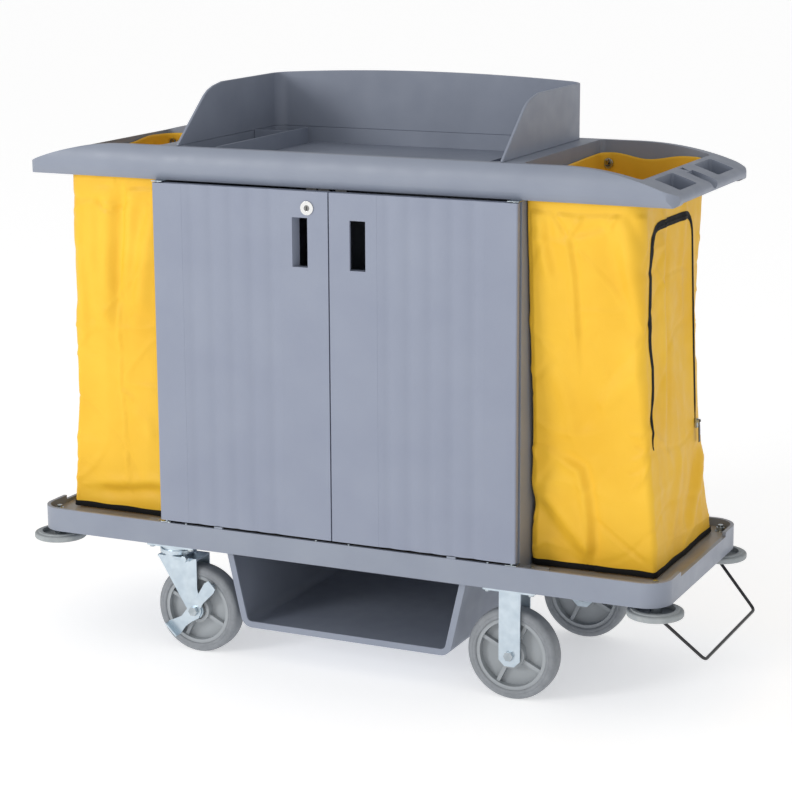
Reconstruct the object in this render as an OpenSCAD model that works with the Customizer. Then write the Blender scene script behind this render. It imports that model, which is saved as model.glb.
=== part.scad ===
// Housekeeping cart: moulded deck on four casters, a two-door cabinet, two hanging
// vinyl bags, and a moulded top tray with a three-sided hood. Millimetres, +Z up,
// +X towards the end with the fixed wheels, the doors face -Y, and the origin is on
// the floor under the middle of the deck.

/* [Deck] */
// Length of the moulded deck
deck_l = 1492; // [1300:1:1800]
// Depth of the moulded deck, front to back
deck_d = 534; // [500:1:660]
// Height of the deck's skirt
deck_h = 53; // [48:1:70]
// Radius of the deck's corners, seen from above
deck_r = 55; // [40:1:70]
// Wall of the moulded deck
deck_wall = 8; // [5:0.5:10]
// Depth of the deck's floor below its rim
deck_sink = 18; // [12:1:24]
// Thickness of the deck's floor
deck_floor = 10; // [6:1:14]
// How far the end rims step down
rim_step = 10; // [4:1:12]
// Length of the step in each end rim
rim_step_l = 316; // [200:1:380]
// Thickness of the ribs under the deck
rib_t = 5; // [3:0.5:8]

/* [Casters] */
// Diameter of the wheels
wheel_d = 200; // [150:1:210]
// Width of the tyres
tyre_w = 45; // [35:1:50]
// Thickness of the tyre round the rim
tyre_t = 21; // [14:1:26]
// Radius of the tyre's shoulders
shoulder_r = 14; // [6:1:16]
// Space between the wheels and the deck, for the caster heads
caster_head = 47; // [45:1:70]
// Distance of the casters from the middle, along the cart
caster_x = 405; // [390:1:480]
// Distance of the casters from the middle, across the cart
caster_y = 222; // [205:1:222]
// Distance of a swivelling wheel behind its swivel pin
trail = 56; // [40:1:56]
// Length of the caster plates
plate_l = 120; // [112:1:124]
// Width of the caster plates
plate_w = 84; // [82:1:86]
// Thickness of the caster plates
plate_t = 5; // [4:0.5:6]
// Bolt spacing of the caster plates, along the cart
bolt_l = 98; // [94:1:100]
// Bolt spacing of the caster plates, across the cart
bolt_w = 62; // [60:1:64]
// Diameter of the caster bolts
bolt_d = 8; // [6:1:10]
// Thickness of the pressed fork legs
leg_t = 4; // [3:0.5:5]
// Width of the fixed forks' legs
leg_w = 48; // [44:1:60]
// Gap between a tyre and the fork's legs
leg_gap = 4; // [3:0.5:6]
// Diameter of the axles and bumper bolts
axle_d = 12; // [10:1:14]
// Diameter of the swivel pins
king_d = 16; // [14:1:20]

/* [Bumpers] */
// Diameter of the corner bumpers
bumper_d = 118; // [100:1:130]
// Thickness of the corner bumpers
bumper_t = 16; // [12:1:20]
// Distance of each bumper's bolt from the end of the deck
bumper_in_x = 32; // [30:1:40]
// Distance of each bumper's bolt from the side of the deck
bumper_in_y = 42; // [38:1:50]
// Gap between the bumpers and the deck's skirt
bumper_drop = 9; // [6:1:12]

/* [Cabinet] */
// Width of the cabinet
cab_w = 846; // [780:1:860]
// Height of the doors
door_h = 751; // [600:1:900]
// Thickness of the doors
door_t = 20; // [18:1:24]
// Gap between the two doors
door_gap = 3; // [2:0.5:5]
// Gap between the doors and the deck below
door_low_gap = 6; // [4:0.5:8]
// Gap between the doors and the tray above
door_top_gap = 4; // [3:0.5:6]
// Thickness of the side and back panels
panel_t = 14; // [10:1:16]
// Thickness of the shelves
shelf_t = 16; // [12:1:20]
// Distance from the edge of a door to its hinge pin
pin_in = 11; // [10:0.5:12]
// Diameter of the hinge pins
pin_d = 8; // [6:0.5:9]
// Number of flutes down each door
flutes = 5; // [3:1:6]
// Width of one flute
flute_w = 48; // [40:1:50]
// Depth of one flute
flute_deep = 3; // [1:0.5:4]
// Width of the finger pull in each door
pull_w = 36; // [30:1:44]
// Height of the finger pull in each door
pull_h = 105; // [80:1:130]
// Distance of each finger pull from the meeting edge
pull_in = 49; // [46:1:60]
// Height of the lock below the top of the doors
lock_down = 35; // [32:1:40]

/* [Top tray] */
// Length of the top tray
tray_l = 1500; // [1310:1:1810]
// Depth of the tray at its widest line
tray_w = 516; // [500:1:640]
// Height of the tray
tray_h = 73; // [66:1:90]
// How far the tray's front and back faces bulge
tray_bulge = 14; // [8:1:18]
// Radius of the tray's corners, seen from above
tray_r = 44; // [24:1:60]
// Length of the falling curve at each end of the tray
fall_l = 245; // [200:1:260]
// Drop of that curve
fall_h = 50; // [35:1:50]
// Radius of the rolled ends of the tray
roll_r = 14; // [10:0.5:14]
// Width of the end bars beyond the bag openings
end_bar = 81; // [70:1:95]
// Wall round the bag openings, front and back
rim_w = 14; // [10:1:16]
// Length of the sunk part of the tray
basin_l = 744; // [680:1:750]
// Depth of the sunk part below the rim
basin_deep = 35; // [25:1:40]
// Thickness of the tray's moulding
tray_wall = 6; // [4:0.5:7]
// Diameter of the channel for a broom handle
broom_d = 44; // [36:1:46]

/* [Hood] */
// Height of the hood at its corners
hood_h = 122; // [90:1:200]
// Rise of the hood's back wall above its corners
hood_crown = 13; // [4:1:20]
// Thickness of the hood
hood_t = 6; // [4:0.5:8]
// Radius of the hood's corners
hood_r = 32; // [20:1:50]
// Thickness of the tray's dividers
divider_t = 3; // [2:0.5:4]

/* [Bags] */
// Gap between a bag's top edge and the tray
bag_gap = 5; // [4:0.5:8]
// How far a bag's top edge hangs below the tray's rim
bag_down = 27; // [24:1:32]
// Gap between a bag and the deck's floor
bag_lift = 3; // [2:0.5:10]
// Thickness of the solid that stands for the vinyl
bag_t = 2.5; // [2:0.5:3]
// Distance of the bag's foot from the end of the deck
bag_end_in = 50; // [45:1:80]
// Distance of the bag's foot from the front of the deck
bag_front_in = 91; // [80:1:110]
// Distance of the bag's foot from the back of the deck
bag_back_in = 62; // [58:1:90]
// Distance of the bag's foot from the cabinet
bag_cab_gap = 17; // [8:1:30]
// Height of the binding round the bag's foot
binding_h = 11; // [8:1:16]
// Outer diameter of the eyelets
eyelet_d = 23; // [20:1:26]
// Width of the zip's flap
zip_w = 265; // [200:1:280]
// Height of the zip's flap
zip_h = 500; // [400:1:540]
// Width of the zip's tape
zip_tape_w = 10; // [8:1:14]

/* [Under-bin] */
// Width of the bin's floor
bin_w = 496; // [400:1:500]
// Length of the bin, front to back
bin_l = 462; // [380:1:470]
// Height of the bin's floor above the ground
bin_z = 77; // [60:1:110]
// Slope of the bin's sides from upright, in degrees
bin_slope = 12.8; // [6:0.1:13]
// Radius of the bin's lower corners
bin_r = 26; // [18:1:40]
// Wall of the bin
bin_wall = 5; // [4:0.5:6]
// Width of the lip round the bin's mouth
bin_lip = 14; // [10:1:18]
// How far the bin sits towards the fixed wheels
bin_shift = 18; // [16:1:22]

/* [Wire rack] */
// Diameter of the wire
wire_d = 7; // [5:0.5:8]
// How far the rack stands out past the bumper bolts
rack_out = 94; // [60:1:120]
// How far the rack hangs down below the bumpers
rack_down = 92; // [60:1:110]
// Length of the rack's outer bar
rack_bar = 360; // [300:1:400]

/* [Hidden] */
$fn = 64;

// Overlap that makes two shapes of one piece join, or a cut pass right through
eps = 0.5;
// Running fit of a shaft in a hole, on the radius
run = 0.08;
// Gap between a moving piece and its neighbour
gap = 0.4;

plastic = "#99a1b3";
shade_plastic = "#7c8494";
zinc = "#bfccd2";
vinyl = "#f0c24b";
black = "#202022";
tyre_grey = "#6f7276";
core_grey = "#a8adaf";

// Levels
deck_z = wheel_d + caster_head;
rim_z = deck_z + deck_h;
floor_z = rim_z - deck_sink;
door_z = rim_z + door_low_gap;
door_top = door_z + door_h;
tray_z = door_top + door_top_gap;
tray_top = tray_z + tray_h;
basin_z = tray_top - basin_deep;
axle_z = wheel_d / 2;

// Fore and aft, measured from the middle
door_front = deck_d / 2;
door_back = door_front - door_t;
pin_y = -door_front + door_t / 2;
cab_front = door_back - 5;
tray_edge = tray_w / 2 - tray_bulge;
opening_y = tray_edge - rim_w;
bumper_x = deck_l / 2 - bumper_in_x;
bumper_y = deck_d / 2 - bumper_in_y;

// Along the cart
door_w = cab_w / 2 - door_gap / 2;
pin_x = cab_w / 2 - pin_in;
opening_in = cab_w / 2 - 4;
opening_out = tray_l / 2 - end_bar;
opening_l = opening_out - opening_in;
opening_mid = (opening_out + opening_in) / 2;
flutes_mid = (pull_in + pull_w + cab_w / 2) / 2 - 23;
lock_x = -pull_in;
lock_z = door_top - lock_down;

// Caster parts
wheel_r = wheel_d / 2;
rim_r = wheel_r - tyre_t;
leg_in = tyre_w / 2 + leg_gap;
leg_out = leg_in + leg_t;
lever_in = leg_out + 0.8;
lever_t = 3.5;
crown_top = deck_z - plate_t - 23;
crown_z = crown_top - 5;

// Bags: the rectangle of the top edge and of the foot, for the right-hand bag
bag_top_z = tray_top - bag_down;
bag_foot_z = floor_z + bag_lift;
bag_top = [opening_in + bag_gap, opening_out - bag_gap, -opening_y + bag_gap + 1, opening_y - bag_gap - 1];
bag_foot = [
    cab_w / 2 + bag_cab_gap, deck_l / 2 - bag_end_in,
    -deck_d / 2 + bag_front_in, deck_d / 2 - bag_back_in
];
bag_h = bag_top_z - bag_foot_z;
end_lean = atan((bag_foot[1] - bag_top[1]) / bag_h);
hook_z = bag_top_z - 23;
hook_in = 22;
zip_top = bag_h - 97;
zip_mid_y = -18;

// ---------------------------------------------------------------- shared shapes

// A rectangle with round corners
module rounded_rect(l, d, r) {
    square([l - 2 * r, d], center = true);
    square([l, d - 2 * r], center = true);
    for (x = [-1, 1], y = [-1, 1])
        translate([x * (l / 2 - r), y * (d / 2 - r)])
            circle(r);
}

// An upright plate with round corners, standing on z
module slab(l, d, r, z, h) {
    translate([0, 0, z])
        linear_extrude(h)
            rounded_rect(l, d, r);
}

// Extrudes an outline drawn in X and Z along Y, from y0 to y1
module along_y(y0, y1) {
    translate([0, y1, 0])
        rotate([90, 0, 0])
            linear_extrude(y1 - y0)
                children();
}

// Extrudes an outline drawn in Y and Z along X, from x0 to x1
module along_x(x0, x1) {
    translate([x0, 0, 0])
        rotate([90, 0, 90])
            linear_extrude(x1 - x0)
                children();
}

// A box given by its two corners
module box(low, high) {
    translate(low)
        cube(high - low);
}

// A cylinder along Y, from y0 to y1
module rod_y(r, x, z, y0, y1) {
    translate([x, y0, z])
        rotate([-90, 0, 0])
            cylinder(r = r, h = y1 - y0);
}

// A hexagon head or nut along Y
module hex_y(r, x, z, y0, y1) {
    translate([x, y0, z])
        rotate([-90, 0, 0])
            cylinder(r = r, h = y1 - y0, $fn = 6);
}

// A straight wire between two points
module wire(a, b, r) {
    d = b - a;
    l = norm(d);
    translate(a)
        rotate([0, acos(d[2] / l), atan2(d[1], d[0])])
            cylinder(r = r, h = l);
}

// A tapered box between a foot rectangle and a top rectangle, each [x0, x1, y0, y1]
module tapered_box(foot, top, z0, z1) {
    polyhedron(
        points = [
            [foot[0], foot[2], z0], [foot[1], foot[2], z0],
            [foot[1], foot[3], z0], [foot[0], foot[3], z0],
            [top[0], top[2], z1], [top[1], top[2], z1],
            [top[1], top[3], z1], [top[0], top[3], z1],
        ],
        faces = [
            [0, 1, 2, 3], [7, 6, 5, 4], [0, 4, 5, 1],
            [1, 5, 6, 2], [2, 6, 7, 3], [3, 7, 4, 0],
        ]
    );
}

// A rectangle [x0, x1, y0, y1] grown by e on every side
function grown(r, e) = [r[0] - e, r[1] + e, r[2] - e, r[3] + e];

// The bag's section at height z
function bag_at(z) =
    let (t = (z - bag_foot_z) / bag_h)
    [for (i = [0 : 3]) bag_foot[i] + (bag_top[i] - bag_foot[i]) * t];

// Repeats a piece at the two swivelling casters or the two fixed ones: x is -1 or 1
module at_casters(x) {
    for (y = [-1, 1])
        translate([x * caster_x, y * caster_y, 0])
            children();
}

// Repeats a piece at the four bumper bolts
module at_bumpers() {
    for (x = [-1, 1], y = [-1, 1])
        translate([x * bumper_x, y * bumper_y, 0])
            children();
}

// ---------------------------------------------------------------- deck

deck_hollow_h = deck_h - deck_sink - deck_floor;

module deck_shell() {
    inner_l = deck_l - 2 * deck_wall;
    inner_d = deck_d - 2 * deck_wall;
    difference() {
        slab(deck_l, deck_d, deck_r, deck_z, deck_h);
        slab(inner_l, inner_d, deck_r - deck_wall, floor_z, deck_sink + 1);
        slab(inner_l, inner_d, deck_r - deck_wall, deck_z - 1, deck_hollow_h + 1);
        for (x = [-1, 1])
            translate([x * deck_l / 2, 0, rim_z])
                cube([3 * deck_wall, rim_step_l, 2 * rim_step], center = true);
    }
}

module deck_ribs() {
    rib_l = deck_l - deck_wall;
    for (y = [-1, 1])
        translate([-rib_l / 2, y * deck_d / 6 - rib_t / 2, deck_z])
            cube([rib_l, rib_t, deck_hollow_h + eps]);
    for (x = [-3 : 3])
        translate([x * deck_l / 8 - rib_t / 2, -deck_d / 2 + deck_wall / 2, deck_z])
            cube([rib_t, deck_d - deck_wall, deck_hollow_h + eps]);
}

// Low stops on the front rim that carry a leaning door
module door_rests() {
    for (x = [-1, 1])
        box([x * 278 - 10, -deck_d / 2 + 1, rim_z - eps], [x * 278 + 10, -deck_d / 2 + 7, door_z - 1.5]);
}

module deck() color(plastic) {
    difference() {
        union() {
            deck_shell();
            deck_ribs();
            for (x = [-1, 1])
                at_casters(x)
                    translate([-plate_l / 2 - 4, -plate_w / 2, deck_z])
                        cube([plate_l + 8, plate_w, deck_hollow_h + eps]);
            at_bumpers()
                translate([0, 0, deck_z + 3])
                    cylinder(r = 18, h = deck_hollow_h - 3 + eps);
            at_bin_screws()
                translate([0, 0, deck_z])
                    cylinder(r = 8, h = deck_hollow_h + eps);
            door_rests();
        }
        at_bin_screws()
            translate([0, 0, deck_z - 1])
                cylinder(d = screw_d + 0.2, h = 13);
        for (x = [-1, 1])
            at_casters(x)
                at_plate_bolts()
                    translate([0, 0, deck_z - 1])
                        cylinder(d = bolt_d + 0.2, h = 23);
        at_bumpers()
            translate([0, 0, deck_z - 1])
                cylinder(d = axle_d + 0.2, h = deck_h);
    }
}

// ---------------------------------------------------------------- cabinet

// One side panel: s is -1 for the left and 1 for the right
module cabinet_side(s) {
    outer = cab_w / 2;
    mirror([s < 0 ? 1 : 0, 0, 0]) {
        difference() {
            box([outer - panel_t, -cab_front, floor_z], [outer, cab_front, tray_z]);
            // Notch for the upper pivot plate
            box(
                [outer - panel_t - 1, -cab_front - 1, tray_z - pivot_t],
                [outer + 1, -tray_edge + pivot_in, tray_z + 1]
            );
        }
        for (z = shelf_levels)
            box([outer - panel_t - 10, -cab_front + 20, z - 10], [outer - panel_t + eps, cab_front - 30, z]);
        difference() {
            for (y = [-1, 1])
                box(
                    [outer - eps, min(y * cab_front, y * (cab_front - foot_d)), floor_z],
                    [outer + foot_l, max(y * cab_front, y * (cab_front - foot_d)), floor_z + foot_h]
                );
            for (y = [-1, 1])
                translate([outer + foot_l * 0.4, y * (cab_front - foot_d / 2), floor_z - 1])
                    cylinder(d = screw_d + 0.2, h = foot_h + 2);
        }
    }
}
foot_l = 56;
foot_d = 30;
foot_h = 8;
screw_d = 5;
shelf_levels = [door_z + door_h / 3 - shelf_t, door_z + door_h * 2 / 3 - shelf_t];

module cabinet_side_left() color(plastic) cabinet_side(-1);
module cabinet_side_right() color(plastic) cabinet_side(1);

module cabinet_back() color(plastic) {
    inner = cab_w / 2 - panel_t;
    box([-inner, cab_front - panel_t, floor_z], [inner, cab_front, tray_z]);
}

// A shelf with a turned-down front edge, resting on the side panels' ledges
module shelf(z) {
    half = cab_w / 2 - panel_t - 1;
    box([-half, -cab_front + 6, z], [half, cab_front - panel_t - 1, z + shelf_t]);
    box([-half + 14, -cab_front + 6, z - 14], [half - 14, -cab_front + 14, z + eps]);
}

module shelf_upper() color(plastic) shelf(shelf_levels[1]);
module shelf_lower() color(plastic) shelf(shelf_levels[0]);

// ---------------------------------------------------------------- doors

// The doors' reeding: rounded ribs side by side in a shallow recess, and half a rib at each side
crest_in = 0.3;
reed_r = (pow(flute_w / 2, 2) + pow(flute_deep - crest_in, 2)) / (2 * (flute_deep - crest_in));

// What the reeding takes from the right-hand door's face, in plan
module reeding() {
    difference() {
        translate([flutes_mid - flutes * flute_w / 2, -door_front - 1])
            square([flutes * flute_w, 1 + flute_deep]);
        for (i = [0 : flutes])
            translate([flutes_mid + (i - flutes / 2) * flute_w, -door_front + crest_in + reed_r])
                circle(reed_r);
    }
}

// Plan of the right-hand door: square meeting edge, rounded hinge edge
module door_plan() {
    edge = cab_w / 2;
    front_r = 4;
    back_r = 9;
    difference() {
        translate([door_gap / 2, -door_front])
            square([door_w, door_t]);
        translate([edge - front_r, -door_front - 1])
            square([front_r + 1, front_r + 1]);
        translate([edge - back_r, -door_back - back_r])
            square([back_r + 1, back_r + 1]);
        reeding();
    }
    translate([edge - front_r, -door_front + front_r])
        circle(front_r);
    translate([edge - back_r, -door_back - back_r])
        circle(back_r);
}

// The right-hand door, closed
module door() {
    difference() {
        translate([0, 0, door_z])
            linear_extrude(door_h)
                door_plan();
        // Finger pull through the door, undercut towards the meeting edge, with a sloping far side
        translate([0, 0, pull_z])
            linear_extrude(pull_h)
                polygon([
                    [pull_in, -door_front - 1], [pull_in + pull_w, -door_front - 1],
                    [pull_in + pull_w, -door_front + 1], [pull_in + pull_w - pull_slope, -door_back + 1],
                    [pull_in - pull_under, -door_back + 1], [pull_in - pull_under, -door_front + 6],
                    [pull_in, -door_front + 6],
                ]);
        translate([pin_x, pin_y, door_z - 1])
            cylinder(d = pin_d + 2 * run, h = pin_deep + 1);
        translate([pin_x, pin_y, door_top - pin_deep])
            cylinder(d = pin_d + 2 * run, h = pin_deep + 1);
    }
}
pin_deep = 26;
pull_z = door_top - 161;
pull_slope = 8;
pull_under = 14;

module door_right() color(plastic) door();

module door_left() color(plastic) {
    difference() {
        mirror([1, 0, 0])
            door();
        rod_y(lock_r + 0.1, lock_x, lock_z, -door_front - 1, -door_back + 1);
    }
}

pivot_t = 2;
pivot_in = 10;

// Pivot plates with a pin, above and below each door
module door_pivots() color(zinc) {
    for (x = [-1, 1]) {
        translate([x * pin_x, 0, 0]) {
            box([-13, -door_front + 1, rim_z], [13, -cab_front, rim_z + pivot_t]);
            box([-13, -door_front + 1, tray_z - pivot_t], [13, -tray_edge + pivot_in, tray_z]);
            translate([0, pin_y, rim_z + pivot_t - eps])
                cylinder(d = pin_d, h = door_z - rim_z - pivot_t + pin_deep - 2);
            translate([0, pin_y, door_top - pin_deep + 2])
                cylinder(d = pin_d, h = pin_deep - 2 + door_top_gap - pivot_t + eps);
        }
    }
}

// ---------------------------------------------------------------- lock

lock_r = 9.5;
plug_r = 6;
cam_y = -door_back + 6.6;
cam_t = 2;
cam_l = lock_down - 1;

// The lock's barrel with its round flange
module lock_body() color(zinc) {
    difference() {
        union() {
            rod_y(15, lock_x, lock_z, -door_front - 2.5, -door_front);
            rod_y(lock_r, lock_x, lock_z, -door_front - eps, -door_back + 6);
        }
        rod_y(plug_r + run, lock_x, lock_z, -door_front - 3, -door_back + 7);
    }
}

module lock_nut() color(zinc) {
    difference() {
        hex_y(14, lock_x, lock_z, -door_back, -door_back + 5);
        rod_y(lock_r + 0.1, lock_x, lock_z, -door_back - 1, -door_back + 7);
    }
}

// The plug with its keyway, and a square tail that carries the cam
module lock_plug() color(zinc) {
    difference() {
        rod_y(plug_r, lock_x, lock_z, -door_front - 2, cam_y);
        box([lock_x - 0.8, -door_front - 3, lock_z - 4], [lock_x + 0.8, -door_front + 8, lock_z + 3.5]);
    }
    rod_y(3, lock_x, lock_z, cam_y - eps, cam_y + cam_t + 2);
}

// The cam, turned aside as it is when the door is unlocked
module lock_cam() color(zinc) {
    difference() {
        union() {
            rod_y(9, lock_x, lock_z, cam_y, cam_y + cam_t);
            box([lock_x - cam_l, cam_y, lock_z - 7], [lock_x, cam_y + cam_t, lock_z + 7]);
        }
        rod_y(3, lock_x, lock_z, cam_y - 1, cam_y + cam_t + 1);
    }
}

// The angle under the tray that the cam catches behind
module lock_strike() color(zinc) {
    y0 = -door_back + 1.6;
    box([lock_x - 12, y0, tray_z - 15], [lock_x + 12, y0 + 2, tray_z]);
    box([lock_x - 12, y0, tray_z - 2], [lock_x + 12, -tray_edge + 10, tray_z]);
}

// Magnetic catches under the tray, one for each door
module door_magnets() color(black) {
    for (x = [-1, 1])
        translate([x * 20, 0, 0])
            box([-13, -door_back + 0.6, tray_z - 13], [13, -tray_edge + 10, tray_z]);
}

// ---------------------------------------------------------------- top tray

fall_r = (pow(fall_l, 2) + pow(fall_h, 2)) / (2 * fall_h);
bulge_r = (pow(tray_h / 2, 2) + pow(tray_bulge, 2)) / (2 * tray_bulge);

// Right half of the tray seen from the front: flat, falling in an arc to a rolled end
tray_flat = tray_l / 2 - fall_l;
fall_run = fall_l - roll_r;
fall_steps = 18;
tray_profile = concat(
    [
        for (i = [0 : fall_steps])
            let (x = fall_run * i / fall_steps)
            [tray_flat + x, tray_top - fall_r + sqrt(fall_r * fall_r - x * x)]
    ],
    [
        for (a = [75 : -15 : -90])
            [tray_l / 2 - roll_r + roll_r * cos(a), tray_z + roll_r + roll_r * sin(a)]
    ]
);

module tray_front_outline() {
    last = len(tray_profile) - 1;
    polygon(concat(
        tray_profile,
        [for (i = [last : -1 : 0]) [-tray_profile[i][0], tray_profile[i][1]]]
    ));
}

// Seen from the end: upright with bulging faces
module tray_end_outline() {
    intersection() {
        union() {
            translate([-tray_edge, tray_z])
                square([2 * tray_edge, tray_h]);
            for (y = [-1, 1])
                translate([y * (tray_w / 2 - bulge_r), tray_z + tray_h / 2])
                    circle(bulge_r, $fn = 180);
        }
        translate([-tray_w / 2 - 1, tray_z])
            square([tray_w + 2, tray_h]);
    }
}

module tray_blank() {
    intersection() {
        slab(tray_l + 2, tray_w + 2, tray_r, tray_z - 1, tray_h + 2);
        along_y(-tray_w, tray_w)
            tray_front_outline();
        along_x(-tray_l, tray_l)
            tray_end_outline();
    }
}

bar_z = tray_z + 7;
cup_in = opening_out + 11;
cup_out = tray_l / 2 - 16;
cup_y0 = 72;
cup_y1 = 186;

// What is cut from one end of the tray, drawn for the right-hand end
module tray_end_cuts() {
    // Bag opening
    translate([opening_mid, 0, 0])
        slab(opening_l, 2 * opening_y, 13, tray_z - 1, tray_h + 2);
    // The end bar's raised underside
    box([opening_out - 1, -opening_y + 24, tray_z - 1], [tray_l / 2 + 1, opening_y - 24, bar_z]);
    // Finger cups in the end bar
    for (y = [-1, 1])
        translate([(cup_in + cup_out) / 2, y * (cup_y0 + cup_y1) / 2, 0])
            slab(cup_out - cup_in, cup_y1 - cup_y0, 6, bar_z + 5, tray_h);
    // Channel for a broom handle, and the small well inboard of it
    translate([cup_in + 14, 0, bar_z + 4 + broom_d / 2])
        rotate([0, 90, 0])
            cylinder(d = broom_d, h = end_bar);
    translate([0, 0, bar_z + 12])
        linear_extrude(tray_h)
            polygon([[cup_in - 4, -11], [cup_in + 15, 0], [cup_in - 4, 11]]);
}

module top_tray() color(plastic) {
    difference() {
        tray_blank();
        for (x = [0, 1])
            mirror([x, 0, 0])
                tray_end_cuts();
        slab(basin_l, 2 * basin_y, hood_r - hood_t, basin_z, basin_deep + 1);
        // Grooves that hold the dividers' feet
        for (x = [-divider_x, slot_x])
            box([x - groove_w / 2, -basin_y, groove_z], [x + groove_w / 2, basin_y, basin_z + 1]);
        box(
            [-basin_l / 2, cross_y - groove_w / 2, groove_z],
            [-divider_x, cross_y + groove_w / 2, basin_z + 1]
        );
        // Hollow underside: under the basin, and under the band beside it
        box(
            [-cab_w / 2 + panel_t, -tray_edge + 12, tray_z - 1],
            [cab_w / 2 - panel_t, tray_edge - 12, basin_z - tray_wall]
        );
        for (x = [0, 1])
            mirror([x, 0, 0])
                box(
                    [basin_l / 2 + tray_wall, -basin_y, basin_z - tray_wall - 1],
                    [cab_w / 2 - panel_t, basin_y, tray_top - tray_wall]
                );
    }
}
basin_y = opening_y - 2;

// ---------------------------------------------------------------- hood and dividers

hood_x = basin_l / 2 + hood_t;
hood_y = basin_y + hood_t + 1;

// Plan of the hood: two side walls and a back wall, round at the corners
module hood_ring() {
    difference() {
        rounded_rect(2 * hood_x, 2 * hood_y, hood_r);
        rounded_rect(2 * (hood_x - hood_t), 2 * (hood_y - hood_t), hood_r - hood_t);
        translate([-hood_x - 1, -hood_y - 1])
            square([2 * hood_x + 2, 1 + hood_r]);
    }
    for (x = [-1, 1])
        translate([x * (hood_x - hood_t / 2), -hood_y + hood_r / 2])
            square([hood_t, hood_r], center = true);
}

module hood() color(plastic) {
    reach = hood_x + 2;
    steps = 24;
    top = tray_top + hood_h + hood_crown;
    intersection() {
        translate([0, 0, tray_top])
            linear_extrude(hood_h + hood_crown + 20)
                hood_ring();
        // Sloping front edges with a soft knee
        along_x(-reach, reach)
            polygon([
                [-hood_y - 2, tray_top - 1],
                [-hood_y - 2, tray_top + 2],
                [-hood_y * 0.5, tray_top + hood_h * 0.80],
                [-hood_y * 0.42, tray_top + hood_h * 0.89],
                [-hood_y * 0.32, tray_top + hood_h * 0.95],
                [-hood_y * 0.16, tray_top + hood_h],
                [hood_y + 2, tray_top + hood_h + hood_crown + 10],
                [hood_y + 2, tray_top - 1],
            ]);
        // Crowned top edge
        along_y(-hood_y - 2, hood_y + 2)
            polygon([
                [-reach, tray_top - 1],
                for (i = [-steps : steps]) [i * reach / steps, top - hood_crown * pow(i / steps, 2)],
                [reach, tray_top - 1],
            ]);
    }
}

groove_w = divider_t + gap;
groove_z = basin_z - 1;
divider_x = 283;
slot_x = 340;
divider_end = basin_y - 28;
cross_y = 110;

// L-shaped divider that makes two pockets at the left of the basin
module divider_left() color(shade_plastic) {
    half = divider_t / 2;
    box([-divider_x - half, -basin_y + 1, groove_z], [-divider_x + half, divider_end, tray_top + 2]);
    box([-basin_l / 2 + 0.5, cross_y - half, groove_z], [-divider_x, cross_y + half, tray_top + 2]);
}

// Straight divider that makes a narrow slot at the right of the basin
module divider_right() color(shade_plastic) {
    half = divider_t / 2;
    box([slot_x - half, -basin_y + 1, groove_z], [slot_x + half, divider_end, tray_top - 1]);
}

// ---------------------------------------------------------------- under-bin

// Outline of the bin inset by e, seen from the front
module bin_outline(e) {
    r = bin_r - e;
    z0 = bin_z + e;
    half = bin_w / 2 + e * tan(bin_slope) - e / cos(bin_slope);
    reach = r * tan((90 - bin_slope) / 2);
    top_half = half + (deck_z - z0) * tan(bin_slope);
    side = [half + reach * sin(bin_slope), z0 + reach * cos(bin_slope)];
    polygon([
        [-half + reach, z0], [half - reach, z0], side,
        [top_half, deck_z], [-top_half, deck_z], [-side[0], side[1]],
    ]);
    for (x = [-1, 1])
        translate([x * (half - reach), z0 + r])
            circle(r);
}

bin_top_half = bin_w / 2 + (deck_z - bin_z) * tan(bin_slope);
bin_front = -deck_d / 2 + 20;
bin_back = bin_front + bin_l;
bin_flange = 25;

module under_bin() color(plastic) translate([bin_shift, 0, 0]) {
    // Walls and floor, open to the front and to the deck above
    difference() {
        along_y(bin_front, bin_back)
            bin_outline(0);
        along_y(bin_front - 1, bin_back - bin_wall)
            bin_outline(bin_wall);
        box([-bin_w, bin_front - 1, deck_z - 1], [bin_w, bin_back - bin_wall, deck_z + 1]);
    }
    // Lip round the mouth
    difference() {
        along_y(bin_front, bin_front + 6)
            bin_outline(0);
        along_y(bin_front - 1, bin_front + 7)
            bin_outline(bin_lip);
        box([-bin_w, bin_front - 1, deck_z - 1], [bin_w, bin_front + 7, deck_z + 1]);
    }
    // Flanges screwed up to the deck
    for (x = [-1, 1])
        difference() {
            translate([x * (bin_top_half + bin_flange / 2 - 3), (bin_front + bin_back) / 2, deck_z - 1.5])
                cube([bin_flange + 4, bin_l, 3], center = true);
            for (y = bin_screw_y)
                translate([x * bin_screw_x, y, deck_z - 6])
                    cylinder(d = screw_d + 0.2, h = 10);
        }
}
bin_screw_x = bin_top_half + 12;
bin_screw_y = [bin_front + 60, bin_back - 60];

// Repeats a piece at the four screws that hold the bin
module at_bin_screws() {
    for (x = [-1, 1], y = bin_screw_y)
        translate([bin_shift + x * bin_screw_x, y, 0])
            children();
}

// ---------------------------------------------------------------- screws

// A pan-head screw at the origin, its head upwards
module pan_screw(l) {
    cylinder(d = screw_d, h = l);
    translate([0, 0, l])
        cylinder(r = screw_d * 0.9, h = 3);
}

module small_screws() color(zinc) {
    // Through the feet of the side panels
    for (x = [-1, 1], y = [-1, 1])
        translate([x * (cab_w / 2 + foot_l * 0.4), y * (cab_front - foot_d / 2), floor_z])
            pan_screw(foot_h);
    // On the front rim, under the doors
    for (x = [-360, -39, 39, 360])
        translate([x, -deck_d / 2 + deck_wall / 2, rim_z])
            cylinder(r = 3, h = 3);
    // Up through the bin's flanges
    at_bin_screws()
        translate([0, 0, deck_z + 10])
            rotate([180, 0, 0])
                pan_screw(13);
}

// ---------------------------------------------------------------- bags

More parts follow.
